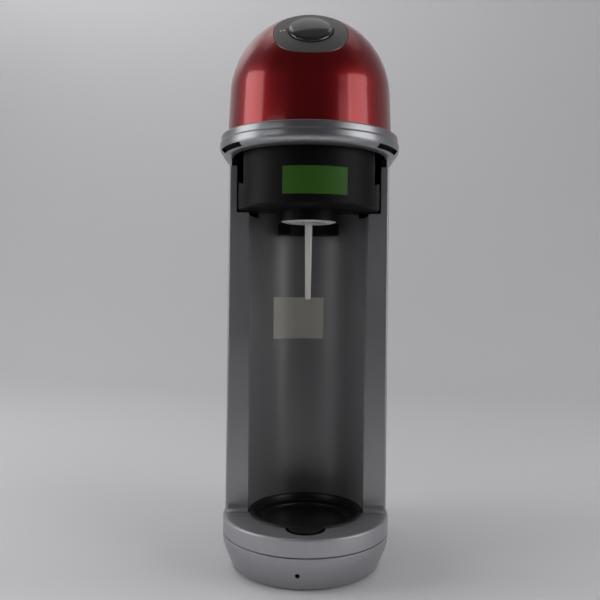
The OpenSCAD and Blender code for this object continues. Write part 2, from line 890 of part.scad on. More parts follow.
// Round push button with a crowned face, a skirt and a stem
module button() {
    color("#1d1d1f") on_plate() {
        difference() {
            intersection() {
                translate([0, 0, skirt_low])
                    cylinder(r = button_r, h = button_edge + button_crown - skirt_low);
                translate([0, 0, button_edge + button_crown - button_sphere]) sphere(button_sphere);
            }
            translate([0, 0, skirt_low - 1]) cylinder(r = button_r - guide_t, h = button_edge - 2 - skirt_low);
        }
        translate([0, 0, stem_tip + stem_r]) cylinder(r = stem_r, h = button_edge - stem_tip - stem_r);
        translate([0, 0, stem_tip + stem_r]) sphere(stem_r);
    }
}

// Small lights beside the button
module indicator_lights() {
    color("white") on_plate() for (x = light_x)
        translate([x, 0, plate_d - 1 + seat]) cylinder(r = light_r, h = 1 + plate_at(abs(x)) + 0.2);
}

// Lever that carries the button's push to the valve pin
module lever() {
    high = lever_low + lever_t;
    color("#8a8a8c") difference() {
        union() {
            translate([-lever_w / 2, 0, 0]) rotate([90, 0, 90]) linear_extrude(height = lever_w) {
                translate([lever_y, lever_z]) circle(lever_boss);
                polygon([
                    [lever_y, lever_low], [cyl_y - arm_run, lever_low], [pad_y + chin[0], pad_z - chin[1]],
                    [pad_y + lip[0], pad_z - lip[1]], [pad_y + brow[0], pad_z - brow[1]], [cyl_y, high],
                    [lever_y, high]
                ]);
                translate([front_c, dome_z]) rotate(plate_tilt) translate([-pad_len / 2, pad_d - pad_t])
                    square([pad_len, pad_t]);
            }
            translate([0, spring_y, lever_seat_z]) cylinder(r = spring_seat_r, h = lever_t / 2);
            translate([0, spring_y, lever_seat_z - spigot_h]) cylinder(r = spigot_r, h = spigot_h + 1);
        }
        translate([0, lever_y, lever_z]) rod_x(lever_pin_r + run, -lever_w, lever_w);
    }
}

// Pin that the lever rocks on
module lever_pin() {
    half = lever_w / 2 + gap + cheek_t;
    color("silver") translate([0, lever_y, lever_z]) rod_x(lever_pin_r, -half, half);
}

// Bracket on the chassis that holds the lever's pin
module lever_bracket() {
    inner = lever_w / 2 + gap;
    outer = inner + cheek_t;
    low = ring_low + seat;
    foot = cheek_t;
    color("#9a9a9c") difference() {
        translate([-outer, bracket_front, low])
            cube([2 * outer, lever_y + bracket_reach - bracket_front, lever_z + bracket_reach - low]);
        translate([-inner, bracket_front - 1, low + foot])
            cube([2 * inner, lever_y + bracket_reach - bracket_front + 2, lever_z]);
        translate([0, lever_y, lever_z]) rod_x(lever_pin_r + seat, -body_w, body_w);
    }
}

// Spring that lifts the lever and the button
module lever_spring() {
    low = ring_low + seat;
    color("silver") translate([0, spring_y, low])
        coil_spring(spring_r, spring_wire, lever_seat_z - seat - low, 9);
}

// Block over the cylinder that its valve screws into
module valve_block() {
    low = ring_low + seat;
    color("#b08d4a") {
        difference() {
            translate([-block_w / 2, cyl_y - block_d / 2, low]) cube([block_w, block_d, block_top - low]);
            translate([0, cyl_y, low - 1]) cylinder(r = thread_r + run, h = thread_top + gap + seal_h - low + 1);
            translate([0, cyl_y, low]) cylinder(r = pin_r + run, h = block_h + 1);
        }
        translate([port_x, cyl_y - block_d / 2 + 1, port_z]) rotate([90, 0, 0])
            cylinder(r = hose_r, h = port_len + 1);
    }
}

// Pin that opens the cylinder's valve
module valve_pin() {
    low = thread_top + gap + seal_h + 2;
    color("silver") translate([0, cyl_y, 0]) {
        translate([0, 0, low]) cylinder(r = pin_r, h = pin_top - pin_head_h - low + 1);
        intersection() {
            translate([0, 0, pin_top - pin_head_h]) cylinder(r = pin_head_r, h = pin_head_h);
            translate([0, 0, pin_top - 2 * pin_head_r]) sphere(2 * pin_head_r);
        }
    }
}

// Spring that lifts the valve pin
module pin_spring() {
    low = block_top + seat;
    color("silver") translate([0, cyl_y, low])
        coil_spring(pin_r + 1.1, 0.4, pin_top - pin_head_h - seat - low, 5);
}

// Exchangeable gas cylinder
module gas_cylinder() {
    body_top = neck_z - cyl_neck_h - shoulder_h;
    color("#b9bcc0") translate([0, cyl_y, 0]) difference() {
        rotate_extrude() polygon(concat(
            [[0, cyl_low], [cyl_r - 4, cyl_low], [cyl_r, cyl_low + 4]],
            [
                for (t = [0:10:90])
                    [cyl_neck_r + (cyl_r - cyl_neck_r) * cos(t), body_top + shoulder_h * sin(t)]
            ],
            [[cyl_neck_r, neck_z - seat], [0, neck_z - seat]]
        ));
        translate([0, 0, cyl_low + 2 * cyl_wall]) cylinder(r = cyl_r - cyl_wall, h = body_top - cyl_low - cyl_wall);
        translate([0, 0, body_top]) cylinder(r = cyl_neck_r / 2, h = neck_z);
    }
}

// Brass valve on the cylinder's neck
module cylinder_valve() {
    color("#b5923f") translate([0, cyl_y, 0]) difference() {
        union() {
            translate([0, 0, neck_z]) cylinder(r = valve_collar_r - gap, h = valve_collar_h);
            translate([0, 0, neck_z]) cylinder(r = thread_r, h = thread_top - neck_z);
        }
        translate([0, 0, thread_top - 6]) cylinder(r = pin_r + 1, h = 7);
    }
}

// Seal between the cylinder's valve and the block
module cylinder_seal() {
    color("#222222") translate([0, cyl_y, thread_top + gap]) difference() {
        cylinder(r = thread_r - gap, h = seal_h - seat);
        translate([0, 0, -1]) cylinder(r = pin_r + 1, h = seal_h + 2);
    }
}

// Foot that the cylinder stands in
module cylinder_cradle() {
    low = floor_z + seat;
    color("#1a1a1a") translate([0, cyl_y, low]) difference() {
        union() {
            cylinder(r = cradle_foot_r, h = cradle_lift + 1);
            translate([0, 0, cradle_lift]) cylinder(r = cyl_r + gap + cradle_t / 2, h = cradle_h);
        }
        translate([0, 0, cradle_lift + cradle_t]) cylinder(r = cyl_r + gap, h = cradle_h);
        translate([0, 0, -1]) cylinder(r = cradle_foot_r - cradle_t, h = cradle_lift + 1);
    }
}

// Centre line of the gas hose, from the valve block's port to the fitting on the bottle head
hose_from = [port_x, cyl_y - block_d / 2 - port_len - seat, port_z];
hose_to = [0, front_c, hub_z + fitting_h + seat];
hose_reach = 46;
hose_rise = 30;
hose_mid = [hose_from - [0, hose_reach, 0], hose_to + [0, 0, hose_rise]];
function hose_at(t) =
    pow(1 - t, 3) * hose_from + 3 * pow(1 - t, 2) * t * hose_mid[0]
    + 3 * (1 - t) * pow(t, 2) * hose_mid[1] + pow(t, 3) * hose_to;
function hose_way(t) =
    let (way = pow(1 - t, 2) * (hose_mid[0] - hose_from) + 2 * (1 - t) * t * (hose_mid[1] - hose_mid[0])
        + pow(t, 2) * (hose_to - hose_mid[1]))
    way / norm(way);

// Gas hose
module gas_hose() {
    steps = 14;
    across = [1, 0, 0];
    color("#303034") tube_through([
        for (i = [0:steps])
            let (t = i / steps, ahead = hose_way(t), side = across - (across * ahead) * ahead)
            ring_points(hose_at(t), ahead, side / norm(side), hose_r, 10)
    ]);
}

// Fitting on top of the neck socket that takes the hose
module hose_fitting() {
    color("#b5923f") translate([0, front_c, hub_z]) difference() {
        union() {
            cylinder(r = fitting_r, h = fitting_h - 8);
            cylinder(r = hose_r, h = fitting_h);
        }
        translate([0, 0, -1]) cylinder(r = tube_collar_r + seat, h = tube_collar_h + 1 + seat);
    }
}

// Tilting head that holds the bottle's neck
module bottle_head() {
    color("#191919") difference() {
        union() {
            head_drum();
            translate([0, front_c, boss_low]) cylinder(r = boss_r, h = boss_h + 1);
        }
        head_hollow();
        both_sides() head_notch();
        translate([0, front_c, boss_low - 1]) cylinder(r = sleeve_r + seat, h = boss_h + head_wall + 2);
        both_sides() translate([0, pivot_y, pivot_z]) rod_x(pivot_r + seat / 2, head_core - 5, head_r + 1);
    }
}

// Outside of the head: a wide drum in front and a narrow one behind
module head_drum() {
    rounding = 2;
    intersection() {
        translate([0, front_c, 0]) rotate_extrude() {
            translate([0, head_low + rounding]) square([head_r, head_top - head_low - rounding]);
            translate([0, head_low]) square([head_r - rounding, head_top - head_low]);
            translate([head_r - rounding, head_low + rounding]) circle(rounding);
        }
        translate([-body_w, front_c - body_w, 0]) cube([2 * body_w, body_w + head_cut_y - front_c, dome_z]);
    }
    translate([0, front_c, head_low]) cylinder(r = head_back_r, h = head_top - head_low);
}

// Space inside the head, open at the top
module head_hollow() {
    low = head_low + head_wall;
    half = head_core - head_wall;
    intersection() {
        translate([0, front_c, low]) union() {
            intersection() {
                cylinder(r = head_r - head_wall, h = dome_z);
                translate([-body_w, -body_w, 0])
                    cube([2 * body_w, body_w + head_cut_y - front_c - head_wall, dome_z]);
            }
            cylinder(r = head_back_r - head_wall, h = dome_z);
        }
        translate([-half, -body_w, 0]) cube([2 * half, 2 * body_w, 2 * dome_z]);
    }
}

// Notch over an ear, with its sloping floor
module head_notch() {
    low = head_low + ear_h;
    reach = 3 * ear_w;
    rotate([90, 0, 0]) linear_extrude(height = 4 * body_w, center = true) polygon([
        [head_core, low], [head_core + reach, low + reach * ear_slope], [head_core + reach, dome_z],
        [head_core, dome_z]
    ]);
}

// Two pins that the head tilts on
module pivot_pins() {
    color("silver") both_sides() translate([0, pivot_y, pivot_z])
        rod_x(pivot_r, head_core - 5 + seat, side_out + side_play / 2);
}

// Pale ring that the bottle's neck screws into
module neck_socket() {
    low = boss_low - seat - flange_t;
    color("#c9c9c6") translate([0, front_c, 0]) difference() {
        union() {
            translate([0, 0, low]) cylinder(r = boss_r - 0.6, h = flange_t);
            translate([0, 0, low]) cylinder(r = sleeve_r, h = web_z + web_t - low);
        }
        translate([0, 0, low - 1]) cylinder(r = neck_r, h = web_z - low + 1);
        translate([0, 0, low]) cylinder(r = tube_r + seat, h = head_top - low);
    }
}

// Rubber seal on the bottle's mouth
module socket_seal() {
    color("#2b2b2b") translate([0, front_c, web_z - seat - seal_t]) difference() {
        cylinder(r = neck_r - seat, h = seal_t);
        translate([0, 0, -1]) cylinder(r = tube_r + seat, h = seal_t + 2);
    }
}

// Thin tube that carries the gas into the bottle
module carbonating_tube() {
    shank = boss_low - seat - flange_t - 4;
    tip = boss_low - seat - flange_t - tube_len;
    color("white") translate([0, front_c, 0]) difference() {
        rotate_extrude() polygon([
            [0, tip], [tube_tip_r - 0.7, tip], [tube_tip_r, tip + 1.2], [tube_r, shank],
            [tube_r, hub_z], [tube_collar_r, hub_z], [tube_collar_r, hub_z + tube_collar_h],
            [0, hub_z + tube_collar_h]
        ]);
        translate([0, 0, tip - 1]) cylinder(r = 1, h = hub_z - tip + 6);
    }
}

// Overpressure valve on the head's floor
module relief_valve() {
    color("#b5923f") translate([head_back_r - relief_in, front_c + 2, head_low + head_wall + seat]) {
        cylinder(r = relief_nut_r, h = 4);
        cylinder(r = relief_r, h = relief_h);
        translate([0, 0, relief_h]) cylinder(r = relief_r + 1, h = relief_cap_h);
    }
}

lower_shell();
rubber_feet();
base_screws();
upper_shell();
front_housing();
bay_liner();
neck_bumper();
drip_tray();
rear_cover();
cover_latch();
latch_spring();
chassis();
frame_screws();
trim_ring();
dome_cover();
control_plate();
button();
indicator_lights();
lever();
lever_pin();
lever_bracket();
lever_spring();
valve_block();
valve_pin();
pin_spring();
gas_cylinder();
cylinder_valve();
cylinder_seal();
cylinder_cradle();
gas_hose();
hose_fitting();
bottle_head();
pivot_pins();
neck_socket();
socket_seal();
carbonating_tube();
relief_valve();
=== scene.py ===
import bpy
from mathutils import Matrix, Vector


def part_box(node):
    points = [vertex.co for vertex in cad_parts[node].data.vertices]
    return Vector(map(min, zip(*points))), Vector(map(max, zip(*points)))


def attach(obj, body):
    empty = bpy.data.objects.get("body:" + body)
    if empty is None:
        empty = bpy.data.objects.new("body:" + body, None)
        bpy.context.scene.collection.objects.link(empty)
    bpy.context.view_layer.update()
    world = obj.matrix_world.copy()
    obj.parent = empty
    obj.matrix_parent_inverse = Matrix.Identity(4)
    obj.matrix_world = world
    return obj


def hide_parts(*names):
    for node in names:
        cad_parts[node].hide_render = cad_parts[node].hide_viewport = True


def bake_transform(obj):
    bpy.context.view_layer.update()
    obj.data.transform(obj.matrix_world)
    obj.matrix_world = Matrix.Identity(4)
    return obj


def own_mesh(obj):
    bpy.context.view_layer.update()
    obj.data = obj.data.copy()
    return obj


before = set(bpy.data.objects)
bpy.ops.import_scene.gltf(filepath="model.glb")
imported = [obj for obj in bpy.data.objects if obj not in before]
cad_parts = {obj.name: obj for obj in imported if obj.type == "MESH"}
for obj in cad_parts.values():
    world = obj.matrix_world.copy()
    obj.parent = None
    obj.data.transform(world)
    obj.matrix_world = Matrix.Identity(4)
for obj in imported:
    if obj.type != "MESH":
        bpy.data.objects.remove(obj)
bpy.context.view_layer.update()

import math

import bmesh
import bpy
from bmesh.types import BMEdge, BMFace, BMVert
from bpy.props import FloatProperty, FloatVectorProperty, PointerProperty
from mathutils import Matrix, Vector

bl_info = {
    "name": "Sparkling water maker",
    "version": (1, 0, 0),
    "blender": (4, 5, 0),
    "location": "View3D > Sidebar > Water maker",
    "description": "Dresses the packed sparkling water maker with its shells, finishes and studio",
    "category": "Add Mesh",
}

# Steps of a full turn, angle from which an edge is sharp, and distance within which points are one
FINE = 96
SHARP = math.radians(32)
MERGE = 1e-6
# Half the line between the base's shells, a broken edge, and the height of the bend in the base's flank
SEAM_GAP = 0.0003
EDGE = 0.0003
KNEE = 0.0055
# Gap between pieces that lie on each other, and gap round the control plate
SEAT = 0.00005
PLATE_GAP = 0.0001


def linear(code):
    """Turn an sRGB hex value into linear red, green, blue and alpha."""
    channels = [int(code[i:i + 2], 16) / 255 for i in (1, 3, 5)]
    return [c / 12.92 if c <= 0.04045 else ((c + 0.055) / 1.055) ** 2.4 for c in channels] + [1.0]


def size(name, description, default):
    """A length in metres that a user may change."""
    return FloatProperty(name=name, description=description, default=default, unit="LENGTH", precision=4)


def colour(name, description, code):
    """A colour that a user may change, written as an sRGB hex value."""
    return FloatVectorProperty(
        name=name, description=description, default=linear(code), size=4, min=0, max=1, subtype="COLOR"
    )


class MakerSizes(bpy.types.PropertyGroup):
    """Main sizes of the machine."""

    arc: size("Arc centre", "Distance of the plan's two round ends from the middle", 0.0275)
    body_r: size("Column radius", "Half the width of the column", 0.064)
    wall: size("Wall", "Wall of the moulded shells", 0.0025)
    base_r: size("Base radius", "Half the width of the base", 0.0655)
    foot_gap: size("Foot gap", "Height of the base's underside above the table", 0.0015)
    base_draft: size("Base draft", "How far the base draws in at its underside", 0.0075)
    draft_h: size("Draft height", "Height over which the base draws in", 0.018)
    seam: size("Base seam", "Height of the line between the base's two shells", 0.0265)
    deck: size("Deck", "Height of the deck that the tray lies in", 0.040)
    face: size("Pillar face", "Distance of the pillars' faces in front of the middle", 0.0305)
    pillar_round: size("Pillar rounding", "Rounding of the pillars' front corners", 0.0018)
    foot_fillet: size("Foot fillet", "Hollow rounding between pillars and deck", 0.007)
    mouth_low: size("Mouth at deck", "Radius of the bay's mouth at the deck", 0.0458)
    mouth_high: size("Mouth at head", "Radius of the bay's mouth at the bottle head", 0.0478)
    column_top: size("Column top", "Height of the pillars' upper edge", 0.315)
    head_low: size("Head underside", "Height of the bottle head's underside", 0.279)
    head_top: size("Head top", "Height of the bottle head's upper edge", 0.3255)
    head_r: size("Head radius", "Radius of the bottle head's drum", 0.0564)
    head_core: size("Head core", "Half the width of the head between its notches", 0.0502)
    ring_low: size("Ring underside", "Height of the ring's underside", 0.321)
    ring_top: size("Ring top", "Height of the ring's upper edge", 0.337)
    ring_r: size("Ring radius", "Radius of the ring at its widest", 0.0712)
    band_r: size("Ring rounding", "Rounding of the ring's lower edge", 0.007)
    dome_z: size("Dome centre", "Height of the dome's centre", 0.369)
    dome_r: size("Dome radius", "Radius of the dome's round part", 0.0635)
    plate_r: size("Plate half width", "Half the width of the control plate", 0.028)
    plate_corner: size("Plate corner", "Reach of the control plate's rounded corners", 0.0298)
    plate_bow: size("Plate bow", "Radius of the control plate's bowed sides", 0.044)
    plate_crown: size("Plate crown", "Height of the control plate's crown", 0.0033)
    button_r: size("Button radius", "Radius of the push button", 0.0165)
    tray_r: size("Tray radius", "Radius of the drip tray's rim", 0.0448)
    tab_r: size("Tab radius", "Half the width of the tray's finger tab", 0.0125)
    tab_in: size("Tab set", "Distance of the tab's middle behind the tray's front edge", 0.003)
    cylinder_y: size("Cylinder place", "Distance of the gas cylinder behind the middle", 0.0553)
    plate_tilt: FloatProperty(
        name="Plate tilt", description="Tilt of the control plate from level", default=math.radians(48),
        unit="ROTATION"
    )


class MakerColours(bpy.types.PropertyGroup):
    """Colours of the finishes, of the floor and of the labels."""

    silver: colour("Silver paint", "Satin silver paint of the shells", "#8e8e91")
    # The base's paint is the silver painted lighter, as painted light on the base
    base: colour("Base paint", "Silver paint of the base, painted lighter as painted light", "#a2a2a6")
    ring: colour("Ring paint", "Glossier silver paint of the ring", "#8f9093")
    red: colour("Red lacquer", "Metallic red lacquer of the dome", "#88050f")
    plate: colour("Plate", "Grey plastic of the control plate", "#63615f")
    button: colour("Button", "Polished dark plastic of the button", "#2b2b2d")
    liner: colour("Liner", "Satin dark plastic of the bottle bay", "#6b6b6d")
    black: colour("Black plastic", "Textured black plastic of the head and frame", "#0b0b0d")
    tray: colour("Tray plastic", "Dull black plastic of the drip tray", "#1c1b1b")
    tube: colour("Tube", "White plastic of the carbonating tube", "#bdbcb8")
    socket: colour("Socket", "Pale plastic of the neck socket", "#c2c2be")
    rubber: colour("Rubber", "Dark rubber of feet, seals and hose", "#1a1a1b")
    green: colour("Green label", "Blank green label on the bottle head", "#2f5a16")
    grey: colour("Grey label", "Blank grey label in the bottle bay", "#b4b1a8")
    floor: colour("Floor", "Pale floor and backdrop", "#e7e6e8")


def kind(geometry, what):
    """The items of one type in an operator's result."""
    return [item for item in geometry if isinstance(item, what)]


def unique(items):
    """The items in their order, each once, so that every run makes the same mesh."""
    return list(dict.fromkeys(items))


def everything(bm):
    """All vertices, edges and faces of a mesh."""
    return bm.verts[:] + bm.edges[:] + bm.faces[:]


def chain(bm, points, closed=False):
    """Join points by edges in order, and return the new vertices and edges."""
    verts = [bm.verts.new(point) for point in points]
    ends = verts[1:] + verts[:1] if closed else verts[1:]
    return verts, [bm.edges.new(pair) for pair in zip(verts, ends)]


def arc_points(centre, radius, start, end, steps):
    """Points on a flat arc, with its angles in degrees."""
    angles = [math.radians(start + (end - start) * i / steps) for i in range(steps + 1)]
    return [(centre[0] + radius * math.cos(a), centre[1] + radius * math.sin(a)) for a in angles]


def clean(bm):
    """Merge doubles and turn the faces outwards."""
    bmesh.ops.remove_doubles(bm, verts=bm.verts, dist=MERGE)
    bmesh.ops.recalc_face_normals(bm, faces=bm.faces)
    return bm


def face_from(bm, point, outward=True):
    """Turn an open skin's faces away from a point, or towards it."""
    face = bm.faces[:][0]
    away = face.normal.dot(face.calc_center_median() - Vector(point)) > 0
    if away != outward:
        bmesh.ops.reverse_faces(bm, faces=bm.faces)


def cut_open(bm, test):
    """Delete the faces whose middle and normal pass a test."""
    doomed = [f for f in bm.faces if test(f.calc_center_median(), f.normal)]
    bmesh.ops.delete(bm, geom=doomed, context="FACES")


def turn(bm, profile, centre=(0, 0), start=0, angle=math.tau, steps=FINE, closed=False):
    """Spin a profile of (radius, height) about an upright axis, beside what the mesh already holds."""
    for vert in bm.verts:
        vert.tag = True
    verts, edges = chain(bm, [(r, 0, z) for r, z in profile], closed)
    bmesh.ops.rotate(bm, verts=verts, matrix=Matrix.Rotation(start, 3, "Z"))
    bmesh.ops.spin(
        bm, geom=verts + edges, cent=(0, 0, 0), axis=(0, 0, 1), angle=angle, steps=steps,
        use_merge=abs(angle - math.tau) < MERGE
    )
    bmesh.ops.translate(bm, verts=[v for v in bm.verts if not v.tag], vec=(*centre, 0))


def turned(profile, centre=(0, 0), start=0, angle=math.tau, steps=FINE, closed=False):
    """A mesh of one turned profile, with its faces outwards."""
    bm = bmesh.new()
    turn(bm, profile, centre, start, angle, steps, closed)
    return clean(bm)


def sweep_round(bm, profile, arc, steps=FINE // 2, closed=False):
    """Carry a profile of (radius, height) round the long plan with its two round ends."""
    verts, edges = chain(bm, [(r, arc, z) for r, z in profile], closed)
    geometry = verts + edges
    for centre, run in ((arc, -2 * arc), (-arc, 2 * arc)):
        out = bmesh.ops.spin(
            bm, geom=geometry, cent=(0, centre, 0), axis=(0, 0, 1), angle=math.pi, steps=steps
        )
        out = bmesh.ops.extrude_edge_only(bm, edges=kind(out["geom_last"], BMEdge))
        bmesh.ops.translate(bm, verts=kind(out["geom"], BMVert), vec=(0, run, 0))
        geometry = kind(out["geom"], BMEdge)
        geometry = [e for e in geometry if all(abs(v.co.y + centre) < MERGE for v in e.verts)]
        geometry += unique(v for e in geometry for v in e.verts)
    bmesh.ops.remove_doubles(bm, verts=bm.verts, dist=MERGE)


def plate_axis(s):
    """Place of the control plate's tilted axis, from the dome's centre."""
    return Matrix.Translation((0, -s.arc, s.dome_z)) @ Matrix.Rotation(s.plate_tilt, 4, "X")


def plate_reach(s, way):
    """Distance of the control plate's outline from its middle: four bowed sides with rounded corners."""
    off, blend = s.plate_bow - s.plate_r, 28
    c, d = abs(math.cos(way)), abs(math.sin(way))
    sides = [
        math.sqrt(s.plate_bow ** 2 - (off * d) ** 2) - off * c,
        math.sqrt(s.plate_bow ** 2 - (off * c) ** 2) - off * d,
        s.plate_corner,
    ]
    return sum((s.plate_r / reach) ** blend for reach in sides) ** (-1 / blend) * s.plate_r


def to_object(name, bm, materials):
    """Turn a mesh into a smooth object of the scene."""
    for face in bm.faces:
        face.smooth = True
    mesh = bpy.data.meshes.new(name)
    bm.to_mesh(mesh)
    bm.free()
    for material in materials:
        mesh.materials.append(material)
    obj = bpy.data.objects.new(name, mesh)
    bpy.context.scene.collection.objects.link(obj)
    return obj


def piece(name, bm, finishes, body, nodes=None, wall=0.0, bevel=0.0):
    """Finish a mesh as an object that rides on a body, in place of the node of its own name or of others."""
    bm.edges.index_update()
    rim = [e.index for e in bm.edges if e.is_boundary]
    obj = to_object(name, bm, [FINISH[key] for key in finishes.split()])
    obj.data.set_sharp_from_angle(angle=SHARP)
    for index in rim:
        obj.data.edges[index].use_edge_sharp = True
    if wall:
        shell = obj.modifiers.new("Wall", "SOLIDIFY")
        shell.thickness = abs(wall)
        shell.offset = -1 if wall > 0 else 1
    if bevel:
        edge = obj.modifiers.new("Edge", "BEVEL")
        edge.width = bevel
        edge.segments = 3
        edge.limit_method = "ANGLE"
        edge.angle_limit = math.radians(40)
        edge.harden_normals = True
    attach(obj, body)
    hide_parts(*([name] if nodes is None else nodes))
    return obj


def blank_tree(owner):
    """The emptied node tree of a material or a world."""
    owner.use_nodes = True
    owner.node_tree.nodes.clear()
    return owner.node_tree


def add_node(tree, kind_name, inputs=None, **settings):
    """Add a node, set its options, and set or link its inputs."""
    node = tree.nodes.new(kind_name)
    for key, value in settings.items():
        setattr(node, key, value)
    for key, value in (inputs or {}).items():
        if isinstance(value, bpy.types.NodeSocket):
            tree.links.new(value, node.inputs[key])
        else:
            node.inputs[key].default_value = value
    return node


def shade(base, factor):
    """A colour made lighter or darker by a factor."""
    return [min(1.0, c * factor) for c in base[:3]] + [1.0]


def surface(name, base, grain_mm, spread, rough, bump, blotch_mm=30, shader=None):
    """A material with a fine colour grain, blotchy gloss and a fine bump, all at real sizes."""
    material = bpy.data.materials.new(name)
    tree = blank_tree(material)
    coords = add_node(tree, "ShaderNodeTexCoord").outputs["Object"]
    grain = add_node(tree, "ShaderNodeTexNoise", {
        "Vector": coords, "Scale": 1000 / grain_mm, "Detail": 2.0, "Roughness": 0.6,
    }).outputs["Fac"]
    blotch = add_node(tree, "ShaderNodeTexNoise", {
        "Vector": coords, "Scale": 1000 / blotch_mm, "Detail": 4.0, "Roughness": 0.65,
    }).outputs["Fac"]
    low, high = 0.3, 0.7
    tint = add_node(tree, "ShaderNodeValToRGB", {"Fac": grain})
    for stop, at, factor in zip(tint.color_ramp.elements, (low, high), (1 - spread, 1 + spread)):
        stop.position = at
        stop.color = shade(base, factor)
    gloss = add_node(tree, "ShaderNodeMapRange", {
        "Value": blotch, "From Min": low, "From Max": high, "To Min": rough[0], "To Max": rough[1],
    }).outputs["Result"]
    relief = add_node(tree, "ShaderNodeBump", {
        "Height": grain, "Strength": bump, "Distance": grain_mm / 4000,
    }).outputs["Normal"]
    inputs = {"Base Color": tint.outputs["Color"], "Roughness": gloss, "Normal": relief}
    bsdf = add_node(tree, "ShaderNodeBsdfPrincipled", {**inputs, **(shader or {})})
    add_node(tree, "ShaderNodeOutputMaterial", {"Surface": bsdf.outputs["BSDF"]})
    return material


def make_finishes(colours):
    """All finishes by name: colour, grain in mm, its spread, roughness from and to, bump, blotches in mm."""
    return {
        # Sprayed metallic paint on ABS: aluminium flakes under a satin film, drawn as coarse as they show
        "silver": surface("Silver paint on ABS", colours.silver, 0.5, 0.06, (0.34, 0.44), 0.05, 40,
                          {"Metallic": 0.75}),
        # The same paint on the base, painted lighter: the lighter colour is painted light, standing in for
        # the light that the base catches
        "base": surface("Silver paint on ABS lightened as painted light", colours.base, 0.5, 0.06, (0.36, 0.46), 0.05, 40,
                        {"Metallic": 0.7}),
        # The same paint under a glossier film, so the ring shows long soft reflections
        "ring": surface("Gloss silver paint on ABS", colours.ring, 0.5, 0.03, (0.27, 0.33), 0.02, 40,
                        {"Metallic": 0.8}),
        # Red candy lacquer: flakes glow through a clear coat that mirrors the lamps
        "red": surface("Red candy lacquer on ABS", colours.red, 0.6, 0.10, (0.30, 0.36), 0.03, 60,
                       {"Metallic": 0.75, "Coat Weight": 0.7, "Coat Roughness": 0.10, "Coat IOR": 1.45}),
        # Moulded grey ABS with an even satin face
        "plate": surface("Satin grey ABS", colours.plate, 0.4, 0.04, (0.36, 0.42), 0.08, 25,
                         {"Metallic": 0.35}),
        # Polished dark ABS, which mirrors the backdrop and the lamps
        "button": surface("Polished dark ABS", colours.button, 0.8, 0.04, (0.12, 0.17), 0.01, 20,
                          {"Coat Weight": 0.5, "Coat Roughness": 0.05}),
        # Moulded dark ABS of the bay, satin, with a soft sheen in upright bands
        "liner": surface("Satin dark ABS", colours.liner, 0.5, 0.05, (0.30, 0.38), 0.06, 35,
                         {"Specular IOR Level": 0.9}),
        # Spark-eroded black ABS: a fine dull grain
        "black": surface("Textured black ABS", colours.black, 0.6, 0.10, (0.40, 0.50), 0.12, 30,
                         {"Specular IOR Level": 0.09}),
        # Moulded black polypropylene of the tray: dull, with soft glints on its rim
        "tray": surface("Black polypropylene", colours.tray, 0.7, 0.08, (0.34, 0.42), 0.06, 18,
                        {"Specular IOR Level": 0.4}),
        # Smooth white polypropylene with a waxy face
        "tube": surface("White polypropylene", colours.tube, 1.2, 0.02, (0.36, 0.44), 0.03, 15,
                        {"IOR": 1.49}),
        # Pale acetal with a waxy face
        "socket": surface("Pale acetal", colours.socket, 1.0, 0.03, (0.38, 0.46), 0.03, 15, {"IOR": 1.48}),
        # Moulded nitrile rubber, dull
        "rubber": surface("Nitrile rubber", colours.rubber, 0.7, 0.10, (0.68, 0.82), 0.20, 12,
                          {"Specular IOR Level": 0.35}),
        # Zinc-plated steel, faintly mottled
        "steel": surface("Zinc plated steel", linear("#b4b6b8"), 0.9, 0.06, (0.26, 0.36), 0.04, 6,
                         {"Metallic": 1.0}),
        # Turned brass with a warm, slightly tarnished face
        "brass": surface("Turned brass", linear("#c9a659"), 1.1, 0.06, (0.24, 0.36), 0.05, 8,
                         {"Metallic": 1.0}),
        # Bead-blasted aluminium: an even, soft grey sheen
        "aluminium": surface("Blasted aluminium", linear("#c3c6ca"), 0.4, 0.04, (0.40, 0.50), 0.10, 25,
                             {"Metallic": 1.0}),
        # Glass-filled nylon, grey with a dull fibre mottle
        "nylon": surface("Glass filled nylon", linear("#55565a"), 0.8, 0.12, (0.50, 0.62), 0.12, 10),
        # Clear acrylic light window, milky where its light sits
        "lens": surface("Clear acrylic lens", linear("#e4e6e8"), 0.5, 0.03, (0.10, 0.14), 0.02, 3,
                        {"Coat Weight": 0.6}),
        # Laminated paper label, plain green
        "green": surface("Laminated green paper", colours.green, 0.5, 0.06, (0.50, 0.60), 0.05, 12,
                         {"Specular IOR Level": 0.2}),
        # Uncoated silver-grey paper label
        "grey": surface("Silver grey paper", colours.grey, 0.4, 0.05, (0.50, 0.60), 0.08, 10,
                        {"Metallic": 0.2}),
        # Painted shade: a near-black colour for the insides of the vent hole and the ring's slots, where
        # shade falls
        "dark": surface("Painted shade in gaps", linear("#060607"), 0.6, 0.10, (0.60, 0.70), 0.05, 10,
                        {"Specular IOR Level": 0.05}),
    }


FINISH = {}

CAD_FINISH = {
    "neck_bumper": "black", "cover_latch": "black", "chassis": "black", "cylinder_cradle": "black",
    "frame_screws": "steel", "base_screws": "steel", "lever_pin": "steel", "lever_bracket": "steel",
    "valve_pin": "steel", "pivot_pins": "steel", "lever": "nylon", "valve_block": "brass",
    "cylinder_valve": "brass", "hose_fitting": "brass", "relief_valve": "brass", "cylinder_seal": "rubber",
    "socket_seal": "rubber", "indicator_lights": "lens",
}


class MAKER_OT_finishes(bpy.types.Operator):
    """Make the finishes and give them to the inner pieces that keep their solid form"""

    bl_idname = "maker.finishes"
    bl_label = "Finishes"

    def execute(self, context):
        FINISH.update(make_finishes(context.scene.maker_colours))
        for node, finish in CAD_FINISH.items():
            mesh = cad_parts[node].data
            mesh.materials.clear()
            mesh.materials.append(FINISH[finish])
        return {"FINISHED"}


